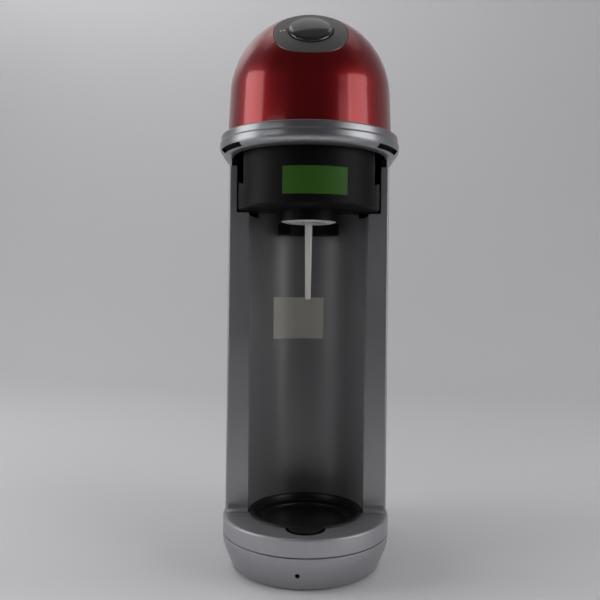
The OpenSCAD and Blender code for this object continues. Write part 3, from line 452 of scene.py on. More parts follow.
class MAKER_OT_base(bpy.types.Operator):
    """Build the base: lower shell, deck with its tray well, and rubber feet"""

    bl_idname = "maker.base"
    bl_label = "Base"

    def execute(self, context):
        s = context.scene.maker_sizes
        self.lower_shell(s)
        self.deck(s)
        self.feet()
        return {"FINISHED"}

    def lower_shell(self, s):
        """Lower half, drawn in towards the table, with a soft edge at the seam and a small vent hole."""
        r, low, top = s.base_r, s.foot_gap, s.seam - SEAM_GAP
        slim, bend, floor = r - s.base_draft, low + s.draft_h, low + s.wall
        soft, steps = 0.0008, 6
        heights = [low + soft] + [bend + KNEE * (i - steps) / steps for i in range(2 * steps + 1)]
        outside = [(0, low), (slim - 0.75 * soft, low), (slim - 0.125 * soft, low + 0.25 * soft)]
        outside += [(self.flank(s, z), z) for z in heights]
        outside += [(r, top - EDGE), (r - EDGE, top)]
        inside = [(r - s.wall, top), (r - s.wall, bend), (slim - s.wall, floor), (0, floor)]
        bm = bmesh.new()
        sweep_round(bm, outside + inside, s.arc)
        clean(bm)
        self.vent(bm, s)
        # The lower shell wears the base paint, which is the silver painted lighter as painted light
        piece("lower_shell", clean(bm), "base dark", "body")

    def flank(self, s, z):
        """Radius of the lower half at a height: upright at the seam, then bent into the draft."""
        lean = s.base_draft / s.draft_h
        below = s.foot_gap + s.draft_h + KNEE - z
        if below > 2 * KNEE:
            return s.base_r - lean * (below - KNEE)
        return s.base_r - lean * max(0, below) ** 2 / (4 * KNEE)

    def vent(self, bm, s):
        """Small round hole with a chamfered rim in the front of the drawn-in wall."""
        at_x, at_z, hole, chamfer, depth = -0.0053, 0.013, 0.0018, 0.0002, 0.0022
        left, lift, margin = -0.0081, 0.0035, 0.001
        skin_r = s.base_r - s.base_draft - margin
        cut_open(bm, lambda at, normal: (
            math.hypot(at.x, at.y + s.arc) > skin_r and s.foot_gap + margin < at.z < at_z + lift
            and left < at.x < 0 and at.y < -s.arc and normal.y < -0.5
        ))
        border = [e for e in bm.edges if e.is_boundary]
        rings = []
        for grow, sink in ((EDGE, 0), (0, chamfer), (0, depth)):
            points = []
            for x, z in arc_points((at_x, at_z), hole + grow, 0, 360, 32)[:-1]:
                r = self.flank(s, z)
                points.append((x, -s.arc - math.sqrt(r * r - x * x) + sink, z))
            rings.append(chain(bm, points, True)[1])
        bmesh.ops.triangle_fill(bm, edges=border + rings[0], normal=(0, -1, 0.4), use_beauty=True)
        bmesh.ops.bridge_loops(bm, edges=rings[0] + rings[1])
        inside = bmesh.ops.bridge_loops(bm, edges=rings[1] + rings[2])["faces"]
        inside += kind(bmesh.ops.edgeloop_fill(bm, edges=rings[2])["faces"], BMFace)
        # The hole's wall and floor take the near-black painted shade
        for face in inside:
            face.material_index = 1

    def well_outline(self, s):
        """Outline of the tray's well together with the finger pocket, counter-clockwise."""
        ledge, finger_room = 0.0016, 0.0025
        well, pocket = s.tray_r - ledge, s.tab_r + finger_room
        tab = -s.arc - s.tray_r + s.tab_in
        apart = -s.arc - tab
        along = (apart ** 2 + well ** 2 - pocket ** 2) / (2 * apart)
        half = math.degrees(math.acos(along / well))
        lean = math.degrees(math.acos((apart - along) / pocket))
        big = arc_points((0, -s.arc), well, half - 90, 270 - half, FINE)
        small = arc_points((0, tab), pocket, 90 + lean, 450 - lean, FINE // 2)
        return big + small[1:-1]

    def deck(self, s):
        """Upper half of the base, open over the tray's well and the gas cylinder."""
        r, low, top = s.base_r, s.seam + SEAM_GAP, s.deck
        soft, well_depth, cylinder_room = 0.0015, 0.0086, 0.032
        edge = arc_points((r - soft, top - soft), soft, 0, 90, 8)
        bm = bmesh.new()
        sweep_round(bm, [(r - s.wall, low), (r - EDGE, low), (r, low + EDGE)] + edge, s.arc)
        rim = [e for e in bm.edges if e.is_boundary and all(abs(v.co.z - top) < MERGE for v in e.verts)]
        round_hole = arc_points((0, s.cylinder_y), cylinder_room, 0, 360, FINE)[:-1]
        wells = []
        for outline, depth in ((self.well_outline(s), well_depth), (round_hole, s.wall)):
            wells.append((chain(bm, [(x, y, top) for x, y in outline], True)[1], depth))
        holes = [edge for edges, _ in wells for edge in edges]
        bmesh.ops.triangle_fill(bm, edges=rim + holes, normal=(0, 0, 1), use_beauty=True)
        for edges, depth in wells:
            out = bmesh.ops.extrude_edge_only(bm, edges=edges)
            verts = kind(out["geom"], BMVert)
            bmesh.ops.translate(bm, verts=verts, vec=(0, 0, -depth))
            if depth > s.wall:
                lower = [e for e in kind(out["geom"], BMEdge) if all(v in verts for v in e.verts)]
                bmesh.ops.triangle_fill(bm, edges=lower, normal=(0, 0, 1), use_beauty=True)
        # The deck wears the base paint, which is the silver painted lighter as painted light
        piece("base_deck", clean(bm), "base", "body", ["upper_shell"])

    def feet(self):
        """Four rubber pads with rounded edges."""
        low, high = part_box("rubber_feet")
        r, soft = 0.008, 0.0008
        profile = [(0, 0), (r - soft, 0), (r - soft / 4, EDGE), (r, soft), (r, high.z), (0, high.z)]
        bm = bmesh.new()
        for x in (low.x + r, high.x - r):
            for y in (low.y + r, high.y - r):
                turn(bm, profile, (x, y), steps=48)
        piece("rubber_feet", clean(bm), "rubber", "body")


class MAKER_OT_column(bpy.types.Operator):
    """Build the column: pillars with their foot fillets, bay liner and rear cover"""

    bl_idname = "maker.column"
    bl_label = "Column"

    def execute(self, context):
        s = context.scene.maker_sizes
        self.pillars(s)
        self.liner(s)
        self.rear_cover(s)
        return {"FINISHED"}

    def pillars(self, s):
        """Pillars and side walls, stepped back at the top for the bottle head."""
        head_room, split_back = 0.0012, 0.007
        low, step, top = s.deck, s.head_low - head_room, s.column_top
        cut = s.head_r + head_room
        turn_at = (s.body_r - s.pillar_round, -s.face + s.pillar_round)
        corner = arc_points(turn_at, s.pillar_round, -90, 0, 8)
        split = math.degrees(math.asin(split_back / s.body_r))
        back = arc_points((0, s.arc), s.body_r, 0, split, 4)
        inner_back = arc_points((0, s.arc), s.body_r - s.wall, split, 0, 4)
        mouth = math.sqrt(s.mouth_low ** 2 - (s.face - s.arc) ** 2)
        inner = -s.face + s.wall
        bm = bmesh.new()
        lip = [bm.verts.new((x, y, low)) for x, y in ((mouth, inner), (mouth, -s.face))]
        run = [(cut, -s.face)] + corner + back + inner_back + [(s.body_r - s.wall, inner), (cut, inner)]
        shell = [bm.verts.new((x, y, low)) for x, y in run]
        strip = bm.faces.new(lip + [shell[0], shell[-1]])
        side = bm.faces.new(shell)
        out = bmesh.ops.extrude_face_region(bm, geom=[strip, side])
        raised = kind(out["geom"], BMVert)
        bmesh.ops.translate(bm, verts=raised, vec=(0, 0, step - low))
        widen = [v for v in raised if v.co.x < cut - MERGE]
        bmesh.ops.translate(bm, verts=widen, vec=(s.mouth_high - s.mouth_low, 0, 0))
        upper = max(kind(out["geom"], BMFace), key=lambda f: f.calc_area())
        out = bmesh.ops.extrude_face_region(bm, geom=[upper])
        bmesh.ops.translate(bm, verts=kind(out["geom"], BMVert), vec=(0, 0, top - step))
        bmesh.ops.delete(bm, geom=[upper], context="FACES_ONLY")
        self.fillet(bm, s, mouth, turn_at)
        bmesh.ops.mirror(bm, geom=everything(bm), axis="X", merge_dist=-1)
        piece("column_pillars", clean(bm), "silver", "body", ["front_housing"],
              bevel=0.0004)

    def fillet(self, bm, s, mouth, turn_at):
        """Hollow foot of a pillar, which fades out round the pillar's corner."""
        f, low, sink, steps = s.foot_fillet, s.deck - 0.0001, 0.001, 8
        fade, least = 5, 0.04
        section = arc_points((-f, f), f, -90, 0, steps) + [(sink, f), (sink, 0)]
        stations = [((mouth, -s.face), 0.0, 1.0), ((turn_at[0], -s.face), 0.0, 1.0)]
        for i in range(1, steps + 1):
            a = math.radians(90 * i / steps)
            at = (turn_at[0] + s.pillar_round * math.sin(a), turn_at[1] - s.pillar_round * math.cos(a))
            stations.append((at, a, max(least, 1 - i / fade)))
        loops = []
        for at, a, share in stations:
            out = Vector((math.sin(a), -math.cos(a), 0))
            points = []
            for back, up in section:
                reach = -back * share if back < 0 else -back
                points.append(Vector((*at, low)) + out * reach + Vector((0, 0, up * share)))
            loops.append(chain(bm, points, True)[1])
        for first, second in zip(loops, loops[1:]):
            bmesh.ops.bridge_loops(bm, edges=first + second)
        for end in (loops[0], loops[-1]):
            bmesh.ops.edgeloop_fill(bm, edges=end)

    def liner(self, s):
        """Half-round dark wall of the bottle bay, higher behind the bottle head."""
        lip, under_head, under_top, behind = 0.0007, 0.003, 0.004, -0.005
        grow = (s.mouth_high - s.mouth_low) / (s.head_low - s.deck)
        heights = [s.deck + SEAT, s.head_low - under_head, s.column_top - under_top]
        profile = [(s.mouth_low - lip + grow * (z - s.deck), z) for z in heights]
        lean = math.asin((s.face - s.arc) / s.mouth_low)
        bm = turned(profile, (0, -s.arc), -lean, math.pi + 2 * lean)
        cut_open(bm, lambda at, normal: at.z > heights[1] and at.y < behind)
        face_from(bm, (0, -s.arc, s.head_low / 2), outward=False)
        piece("bay_liner", bm, "liner", "body", wall=0.0006)

    def rear_cover(self, s):
        """Round back of the column with the latch's window."""
        window, columns, window_columns, split_back = (0.2847, 0.3043), 88, 8, 0.0073
        heights = (s.deck + EDGE, *window, s.column_top - EDGE)
        start = math.asin(split_back / s.body_r)
        sweep = math.pi - 2 * start
        bm = turned([(s.body_r, z) for z in heights], (0, s.arc), start, sweep, columns)
        half = window_columns / 2 * sweep / columns * s.body_r
        cut_open(bm, lambda at, normal: window[0] < at.z < window[1] and abs(at.x) < half)
        face_from(bm, (0, s.arc, s.column_top / 2))
        piece("rear_cover", bm, "silver", "rear_cover", wall=s.wall, bevel=0.0003)


class MAKER_OT_tray(bpy.types.Operator):
    """Build the drip tray with its stepped dish and finger tab"""

    bl_idname = "maker.tray"
    bl_label = "Drip tray"

    def execute(self, context):
        s = context.scene.maker_sizes
        low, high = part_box("drip_tray")
        r, top, seat, floor, rim = s.tray_r, high.z, s.deck + SEAT, 0.0016, 0.0019
        body, step, step_z = r - rim, 0.8 * r, s.deck - 0.00425
        inner, soft, fall, chamfer = body - floor, 0.0009, 0.0008, 0.0002
        profile = [
            (0, low.z), (step, low.z), (step, step_z - floor), (body, step_z - floor), (body, seat),
            (r - EDGE, seat), (r, seat + EDGE), (r, top - fall), (r - EDGE, top - chamfer),
            (r - soft, top), (inner + soft, top), (inner + EDGE, top - chamfer), (inner, top - fall),
            (inner - EDGE, step_z + fall), (inner - soft, step_z), (step - fall, step_z),
            (step - 0.0017, step_z - 0.0005), (step - 0.0021, step_z - 0.0014),
            (step - 0.0026, low.z + 0.0026), (step - 0.0036, low.z + floor), (0, low.z + floor),
        ]
        bm = bmesh.new()
        turn(bm, profile, (0, -s.arc))
        self.tab(bm, s, seat, top - chamfer)
        piece("drip_tray", clean(bm), "tray", "drip_tray", bevel=0.0003)
        return {"FINISHED"}

    def tab(self, bm, s, low, high):
        """Finger tab: a round tongue that ends under the rim."""
        front, tuck = -s.arc - s.tray_r, 0.0022
        place = Matrix.Translation((0, front + s.tab_in, low))
        out = bmesh.ops.create_circle(bm, cap_ends=True, radius=s.tab_r, segments=64, matrix=place)
        disc = unique(f for v in out["verts"] for f in v.link_faces)
        geometry = out["verts"] + unique(e for f in disc for e in f.edges) + disc
        out = bmesh.ops.bisect_plane(
            bm, geom=geometry, plane_co=(0, front + tuck, 0), plane_no=(0, 1, 0), clear_outer=True
        )
        out = bmesh.ops.extrude_face_region(bm, geom=kind(out["geom"], BMFace))
        bmesh.ops.translate(bm, verts=kind(out["geom"], BMVert), vec=(0, 0, high - low))


class MAKER_OT_ring(bpy.types.Operator):
    """Build the silver ring with its rounded band, lip and two vent slots"""

    bl_idname = "maker.ring"
    bl_label = "Ring"

    def execute(self, context):
        s = context.scene.maker_sizes
        band, shoulder, lip_in, lip_h, lip_soft, ledge_t = s.band_r, 0.002, 0.001, 0.005, 0.0012, 0.0024
        centre = (s.ring_r - band, s.ring_low + band)
        lip_low, lip_r = s.ring_top - lip_h, s.ring_r - lip_in
        slot = (s.ring_low + 0.001, s.ring_low + 0.004)
        heights = [z for _, z in arc_points(centre, band, -90, 0, 18)] + list(slot)
        flank = []
        for z in sorted(heights):
            flank.append((centre[0] + math.sqrt(max(0, band ** 2 - (z - centre[1]) ** 2)), z))
        meet = math.degrees(math.acos(1 - lip_in / shoulder))
        flank += arc_points((s.ring_r - shoulder, lip_low - shoulder), shoulder, 0, meet, 8)
        top = arc_points((lip_r - lip_soft, s.ring_top - lip_soft), lip_soft, 0, 90, 6)
        inner, ledge, seat = s.dome_r + 0.00125, s.head_r + 0.0038, s.ring_low + ledge_t
        profile = [(ledge, seat), (ledge, s.ring_low), *flank, (lip_r, lip_low + EDGE)]
        profile += [*top, (inner, s.ring_top), (inner, seat)]
        bm = bmesh.new()
        sweep_round(bm, profile, s.arc, FINE, closed=True)
        clean(bm)
        self.slots(bm, s, slot)
        piece("trim_ring", bm, "ring dark", "body")
        return {"FINISHED"}

    def slots(self, bm, s, slot):
        """Sink the two vent slots into the band's lower flank."""
        first, last, skin_r, depth = math.radians(46), math.radians(75), 0.067, 0.0022
        for side in (-1, 1):
            cut_open(bm, lambda at, normal: (
                slot[0] < at.z < slot[1] and math.hypot(at.x, at.y + s.arc) > skin_r
                and first < math.atan2(side * at.x, -at.y - s.arc) < last
            ))
            rim = [e for e in bm.edges if e.is_boundary]
            out = bmesh.ops.extrude_edge_only(bm, edges=rim)
            verts = kind(out["geom"], BMVert)
            for vert in verts:
                inward = Vector((-vert.co.x, -s.arc - vert.co.y, 0)).normalized()
                vert.co += inward * depth
            back = [e for e in kind(out["geom"], BMEdge) if all(v in verts for v in e.verts)]
            fill = bmesh.ops.edgeloop_fill(bm, edges=back)["faces"]
            # The slot's walls and back take the near-black painted shade
            for face in kind(out["geom"], BMFace) + list(fill):
                face.material_index = 1
        bmesh.ops.recalc_face_normals(bm, faces=bm.faces)


class MAKER_OT_dome(bpy.types.Operator):
    """Build the domed cover, cut open for the control plate"""

    bl_idname = "maker.dome"
    bl_label = "Dome"

    def execute(self, context):
        s = context.scene.maker_sizes
        flare, rest = 0.0012, 0.00245
        base, rise = s.dome_r + flare, s.dome_z - s.ring_top
        skirt = [(base - flare * t ** 1.5, s.ring_top + rise * t) for t in (0, 0.2, 0.4, 0.6, 0.8)]
        round_part = arc_points((0, s.dome_z), s.dome_r, 0, 90, 40)
        profile = [(base, s.ring_low + rest), *skirt, *round_part[:-1], (0, s.dome_z + s.dome_r)]
        bm = bmesh.new()
        sweep_round(bm, profile, s.arc, 72)
        clean(bm)
        axis = plate_axis(s)
        cut = math.sqrt(s.dome_r ** 2 - (s.plate_r + PLATE_GAP) ** 2)
        bmesh.ops.bisect_plane(
            bm, geom=everything(bm), plane_co=axis @ Vector((0, 0, cut)),
            plane_no=axis.to_3x3() @ Vector((0, 0, 1)), clear_outer=True
        )
        self.square_off(bm, s, axis, cut)
        face_from(bm, (0, 0, s.dome_z))
        piece("dome_cover", bm, "red", "body", wall=s.wall)
        return {"FINISHED"}

    def square_off(self, bm, s, axis, cut):
        """Slide the dome's skin round the opening out to the plate's rounded square outline."""
        back = axis.inverted()
        sliver, near, off_round = 0.00015, 0.001, 0.0003
        slivers = [e for e in bm.edges if e.calc_length() < sliver]
        slivers = [e for e in slivers if all(abs((back @ v.co).z - cut) < near for v in e.verts)]
        bmesh.ops.collapse(bm, edges=slivers)
        first, last = math.asin((s.plate_r + PLATE_GAP) / s.dome_r), math.radians(42)
        for vert in bm.verts:
            local = back @ vert.co
            lean = math.acos(max(-1.0, min(1.0, local.z / local.length)))
            if lean > last or abs(local.length - s.dome_r) > off_round:
                continue
            way = math.atan2(local.y, local.x)
            goal = math.asin((plate_reach(s, way) + PLATE_GAP) / s.dome_r)
            share = 1 - (lean - first) / (last - first)
            lean += (goal - first) * share ** 2
            flat = math.sin(lean)
            ray = Vector((flat * math.cos(way), flat * math.sin(way), math.cos(lean)))
            vert.co = axis @ (local.length * ray)


class MAKER_OT_controls(bpy.types.Operator):
    """Build the control plate and the push button on their tilted axis"""

    bl_idname = "maker.controls"
    bl_label = "Plate and button"

    def execute(self, context):
        s = context.scene.maker_sizes
        rim = math.sqrt(s.dome_r ** 2 - s.plate_r ** 2)
        self.plate(s, rim)
        self.button(s, rim)
        return {"FINISHED"}

    def crown(self, s, at):
        """Height of the plate's spherical crown above its rim, at a distance from its middle."""
        ball = (s.plate_r ** 2 + s.plate_crown ** 2) / (2 * s.plate_crown)
        return math.sqrt(ball ** 2 - at ** 2) - ball + s.plate_crown

    def plate(self, s, rim):
        """Crowned plate with a rounded rim and a bore for the button."""
        bore, edge = s.button_r + EDGE, s.plate_r - SEAT
        chamfer, margin, skirt, deep = 0.0005, 0.0016, 0.004, 0.012
        spread = [bore + chamfer + (s.plate_r - margin - bore) * i / 10 for i in range(11)]
        face = [(r, rim + self.crown(s, r)) for r in spread]
        profile = [(bore, rim - deep), (bore, face[0][1] - chamfer), *face]
        profile += [(edge - 0.0006, rim + 0.0001), (edge - 0.0003, rim), (edge - 0.0001, rim - 0.0003)]
        profile += [(edge, rim - 0.0007), (edge, rim - skirt)]
        profile += [(edge - 0.002, rim - skirt), (bore + 0.002, rim - deep)]
        bm = turned(profile, closed=True)
        for vert in bm.verts:
            r = math.hypot(vert.co.x, vert.co.y)
            way = math.atan2(vert.co.y, vert.co.x)
            share = max(0, (r - bore) / (edge - bore)) ** 2
            reach = r * (1 + (plate_reach(s, way) / s.plate_r - 1) * share)
            drop = self.crown(s, reach) - self.crown(s, r)
            vert.co = Vector((reach * math.cos(way), reach * math.sin(way), vert.co.z + drop))
        bmesh.ops.transform(bm, verts=bm.verts, matrix=plate_axis(s))
        piece("control_plate", bm, "plate", "body")

    def button(self, s, rim):
        """Push button with a face like a pillow, a skirt and a stem with a rounded tip."""
        r, pillow, proud, skirt, stem = s.button_r, 0.0040, 0.0004, 0.0117, 0.004
        edge = rim + self.crown(s, r) + proud
        face = [(r * x, edge + pillow * z) for x, z in reversed(arc_points((0, 0), 1, 0, 90, 24))]
        profile = [*face, (r, rim - skirt), (stem, rim - skirt)]
        profile += [(stem, 0.0252), (0.7 * stem, 0.02236), (0, 0.0212)]
        bm = turned(profile)
        bmesh.ops.transform(bm, verts=bm.verts, matrix=plate_axis(s))
        piece("button", bm, "button", "button")


class MAKER_OT_bottle_head(bpy.types.Operator):
    """Build the tilting bottle head with its notches, neck socket and tube"""

    bl_idname = "maker.bottle_head"
    bl_label = "Bottle head"

    def execute(self, context):
        s = context.scene.maker_sizes
        self.drum(s)
        self.socket(s)
        self.tube(s)
        return {"FINISHED"}

    def drum(self, s):
        """Drum with an ear on each side below a notch, and the boss under it."""
        r, low, top = s.head_r, s.head_low, s.head_top
        soft, edge, back = 0.0022, 0.001, -0.0125
        foot = arc_points((r - soft, low + soft), soft, -90, 0, 6)
        bm = turned([(0, low), *foot, (r, top - edge), (r - edge, top), (0, top)], (0, -s.arc))
        bmesh.ops.bisect_plane(
            bm, geom=everything(bm), plane_co=(0, back, 0), plane_no=(0, 1, 0), clear_outer=True
        )
        bmesh.ops.holes_fill(bm, edges=[e for e in bm.edges if e.is_boundary], sides=0)
        for side in (-1, 1):
            self.notch(bm, s, side)
        # The boss's rim hangs round the socket's flange
        root, seat, rim = 0.001, low - 0.007, low - 0.0081
        outer, lap, bore = 0.0228, 0.0222, 0.0176
        boss = [(0, low + root), (outer, low + root), (outer, rim), (outer - EDGE, rim - EDGE), (lap, rim),
                (lap, seat), (bore, seat), (bore, low - root), (0, low - root)]
        turn(bm, boss, (0, -s.arc))
        piece("bottle_head", clean(bm), "black", "bottle_head", bevel=0.0006)

    def notch(self, bm, s, side):
        """Cut a notch over an ear: an upright wall and a sloping floor."""
        ear_h, slope, near_x, close = 0.018, 0.7, 0.044, 1e-5
        wall_at = Vector((side * s.head_core, 0, 0))
        floor_at = Vector((side * s.head_core, 0, s.head_low + ear_h))
        floor_up = Vector((-slope * side, 0, 1)).normalized()
        for at, normal in ((wall_at, Vector((side, 0, 0))), (floor_at, floor_up)):
            near = [f for f in bm.faces if max(side * v.co.x for v in f.verts) > near_x]
            geometry = unique(item for f in near for item in (f, *f.edges, *f.verts))
            bmesh.ops.bisect_plane(bm, geom=geometry, plane_co=at, plane_no=normal)
        cut_open(bm, lambda at, normal: (
            side * at.x > s.head_core + MERGE and (at - floor_at).dot(floor_up) > MERGE
        ))
        rim = [e for e in bm.edges if e.is_boundary]
        ends = unique(v for e in rim for v in e.verts)
        corner = [v for v in ends if (v.co - floor_at).xz.length < close]
        crease = bm.edges.new(corner)
        on_wall = [e for e in rim if all(abs(v.co.x - wall_at.x) < close for v in e.verts)]
        on_floor = [e for e in rim if e not in on_wall]
        bmesh.ops.contextual_create(bm, geom=on_wall + [crease])
        bmesh.ops.contextual_create(bm, geom=on_floor + [crease])

    def socket(self, s):
        """Pale flange and threaded bore that take the bottle's neck."""
        low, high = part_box("neck_socket")
        bore, tube_room, hub, outer, flange = 0.0142, 0.0031, 0.0175, 0.022, low.z + 0.002
        ceiling, ridge, pitch = high.z - 0.003, 0.0007, 0.0025
        thread = []
        for i in range(2):
            z = low.z + 0.0012 + pitch * i
            thread += [(bore, z), (bore - ridge, z + 0.0006), (bore - ridge, z + 0.0011), (bore, z + 0.0017)]
        profile = [(tube_room, ceiling), (bore, ceiling), *reversed(thread), (bore + 0.0005, low.z)]
        profile += [(outer - 0.0030, low.z), (outer - 0.0008, low.z + 0.0007), (outer, low.z + 0.0014)]
        profile += [(outer, flange - 0.0002), (outer - 0.0002, flange)]
        profile += [(hub, flange), (hub, high.z), (tube_room, high.z)]
        bm = turned(profile, (0, -s.arc), closed=True)
        piece("neck_socket", bm, "socket", "bottle_head")

    def tube(self, s):
        """Thin tapered tube with an open tip."""
        low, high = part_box("carbonating_tube")
        bore, shaft, collar, depth = 0.001, 0.0029, 0.0055, 0.003
        profile = [
            (0, low.z + depth), (bore, low.z + depth), (bore, low.z + 0.0002), (0.0013, low.z),
            (0.0018, low.z + 0.0004), (0.0022, low.z + 0.0016), (shaft, low.z + 0.054),
            (shaft, high.z - depth), (collar, high.z - depth), (collar, high.z), (0, high.z),
        ]
        bm = turned(profile, (0, -s.arc), steps=48)
        piece("carbonating_tube", bm, "tube", "bottle_head")


class MAKER_OT_labels(bpy.types.Operator):
    """Lay the two blank paper labels on the head and on the bay's back wall"""

    bl_idname = "maker.labels"
    bl_label = "Blank labels"

    def execute(self, context):
        s = context.scene.maker_sizes
        glue, bay_r, bay_taper = 0.00012, 0.04615, 0.0003
        self.label("head_label", s, (s.head_r + glue, s.head_r + glue), -90, (-0.0194, 0.0280),
                   (0.2865, 0.3067), "green", "bottle_head")
        self.label("bay_label", s, (bay_r, bay_r + bay_taper), 90, (0.0135, -0.0290),
                   (0.1743, 0.2098), "grey", "body")
        return {"FINISHED"}

    def label(self, name, s, radii, facing, across, heights, finish, body):
        """A thin sheet of paper bent round the bottle's axis, on a drum's outside or in a hollow."""
        first, last = [math.asin(x / radii[0]) for x in across]
        outward = facing < 0
        sign = 1 if outward else -1
        bm = turned(zip(radii, heights), (0, -s.arc), math.radians(facing) + sign * first,
                    sign * (last - first), 24)
        face_from(bm, (0, -s.arc, heights[0]), outward)
        piece(name, bm, finish, body, [], wall=-0.0001)


class MAKER_OT_gas(bpy.types.Operator):
    """Build the gas cylinder, the hose to the bottle head, and the springs"""

    bl_idname = "maker.gas"
    bl_label = "Gas line and springs"

    def execute(self, context):
        s = context.scene.maker_sizes
        self.cylinder(s)
        self.hose(s)
        self.spring("lever_spring", 0.0006, 9, "lever_rock", 0.87, "body")
        self.spring("pin_spring", 0.0004, 5, "valve_pin_press", 0.873, "body")
        self.spring("latch_spring", 0.00035, 6, "latch_press", 0.60, "rear_cover")
        return {"FINISHED"}

    def cylinder(self, s):
        """Drawn cylinder with a rounded shoulder and a short neck."""
        low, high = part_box("gas_cylinder")
        r, neck, neck_h, shoulder_h = 0.030, 0.014, 0.018, 0.026
        spring_z = high.z - neck_h - shoulder_h
        quarter = arc_points((0, 0), 1, 0, 90, 15)
        shoulder = [(neck + (r - neck) * x, spring_z + shoulder_h * z) for x, z in quarter]
        profile = [(0, low.z), (r - 0.004, low.z), (r - 0.0012, low.z + 0.0012), (r, low.z + 0.004)]
        profile += [*shoulder, (neck, high.z - 0.0004), (neck - 0.0004, high.z), (0, high.z)]
        bm = turned(profile, (0, s.cylinder_y))
        piece("gas_cylinder", bm, "aluminium", "gas_cylinder")

    def hose(self, s):
        """Rubber hose from the valve block to the fitting on the bottle head."""
        start, end = Vector((0.011, 0.03525, 0.3415)), Vector((0, -s.arc, 0.30415))
        curve = bpy.data.curves.new("gas_hose_line", "CURVE")
        curve.dimensions = "3D"
        curve.bevel_depth = 0.0025
        curve.bevel_resolution = 6
        curve.resolution_u = 32
        curve.use_fill_caps = True
        spline = curve.splines.new("BEZIER")
        spline.bezier_points.add(1)
        for point, at, ahead in zip(spline.bezier_points, (start, end), ((0, -0.046, 0), (0, 0, -0.030))):
            point.co = at
            point.handle_left_type = point.handle_right_type = "FREE"
            point.handle_left = at - Vector(ahead)
            point.handle_right = at + Vector(ahead)
        line = bpy.data.objects.new("gas_hose_line", curve)
        bm = bmesh.new()
        bm.from_mesh(bpy.data.meshes.new_from_object(line))
        bpy.data.objects.remove(line)
        obj = to_object("gas_hose", clean(bm), [FINISH["rubber"]])
        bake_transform(obj)
        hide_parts("gas_hose")

    def spring(self, node, wire, turns, joint, keep, body):
        """Coil spring that fills its part's box."""
        low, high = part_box(node)
        middle = (low + high) / 2
        r = (high.x - low.x) / 2 - wire
        steps = 20 * turns
        climb = (high.z - low.z - 2 * wire) / steps
        bm = bmesh.new()
        place = Matrix.Translation((r, 0, low.z + wire)) @ Matrix.Rotation(math.radians(90), 4, "X")
        bmesh.ops.create_circle(bm, cap_ends=True, radius=wire, segments=8, matrix=place)
        bmesh.ops.spin(
            bm, geom=everything(bm), cent=(0, 0, 0), axis=(0, 0, 1), angle=math.tau * turns, steps=steps,
            dvec=(0, 0, climb)
        )
        bmesh.ops.translate(bm, verts=bm.verts, vec=(middle.x, middle.y, 0))
        obj = piece(node, clean(bm), "steel", body)
        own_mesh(obj)


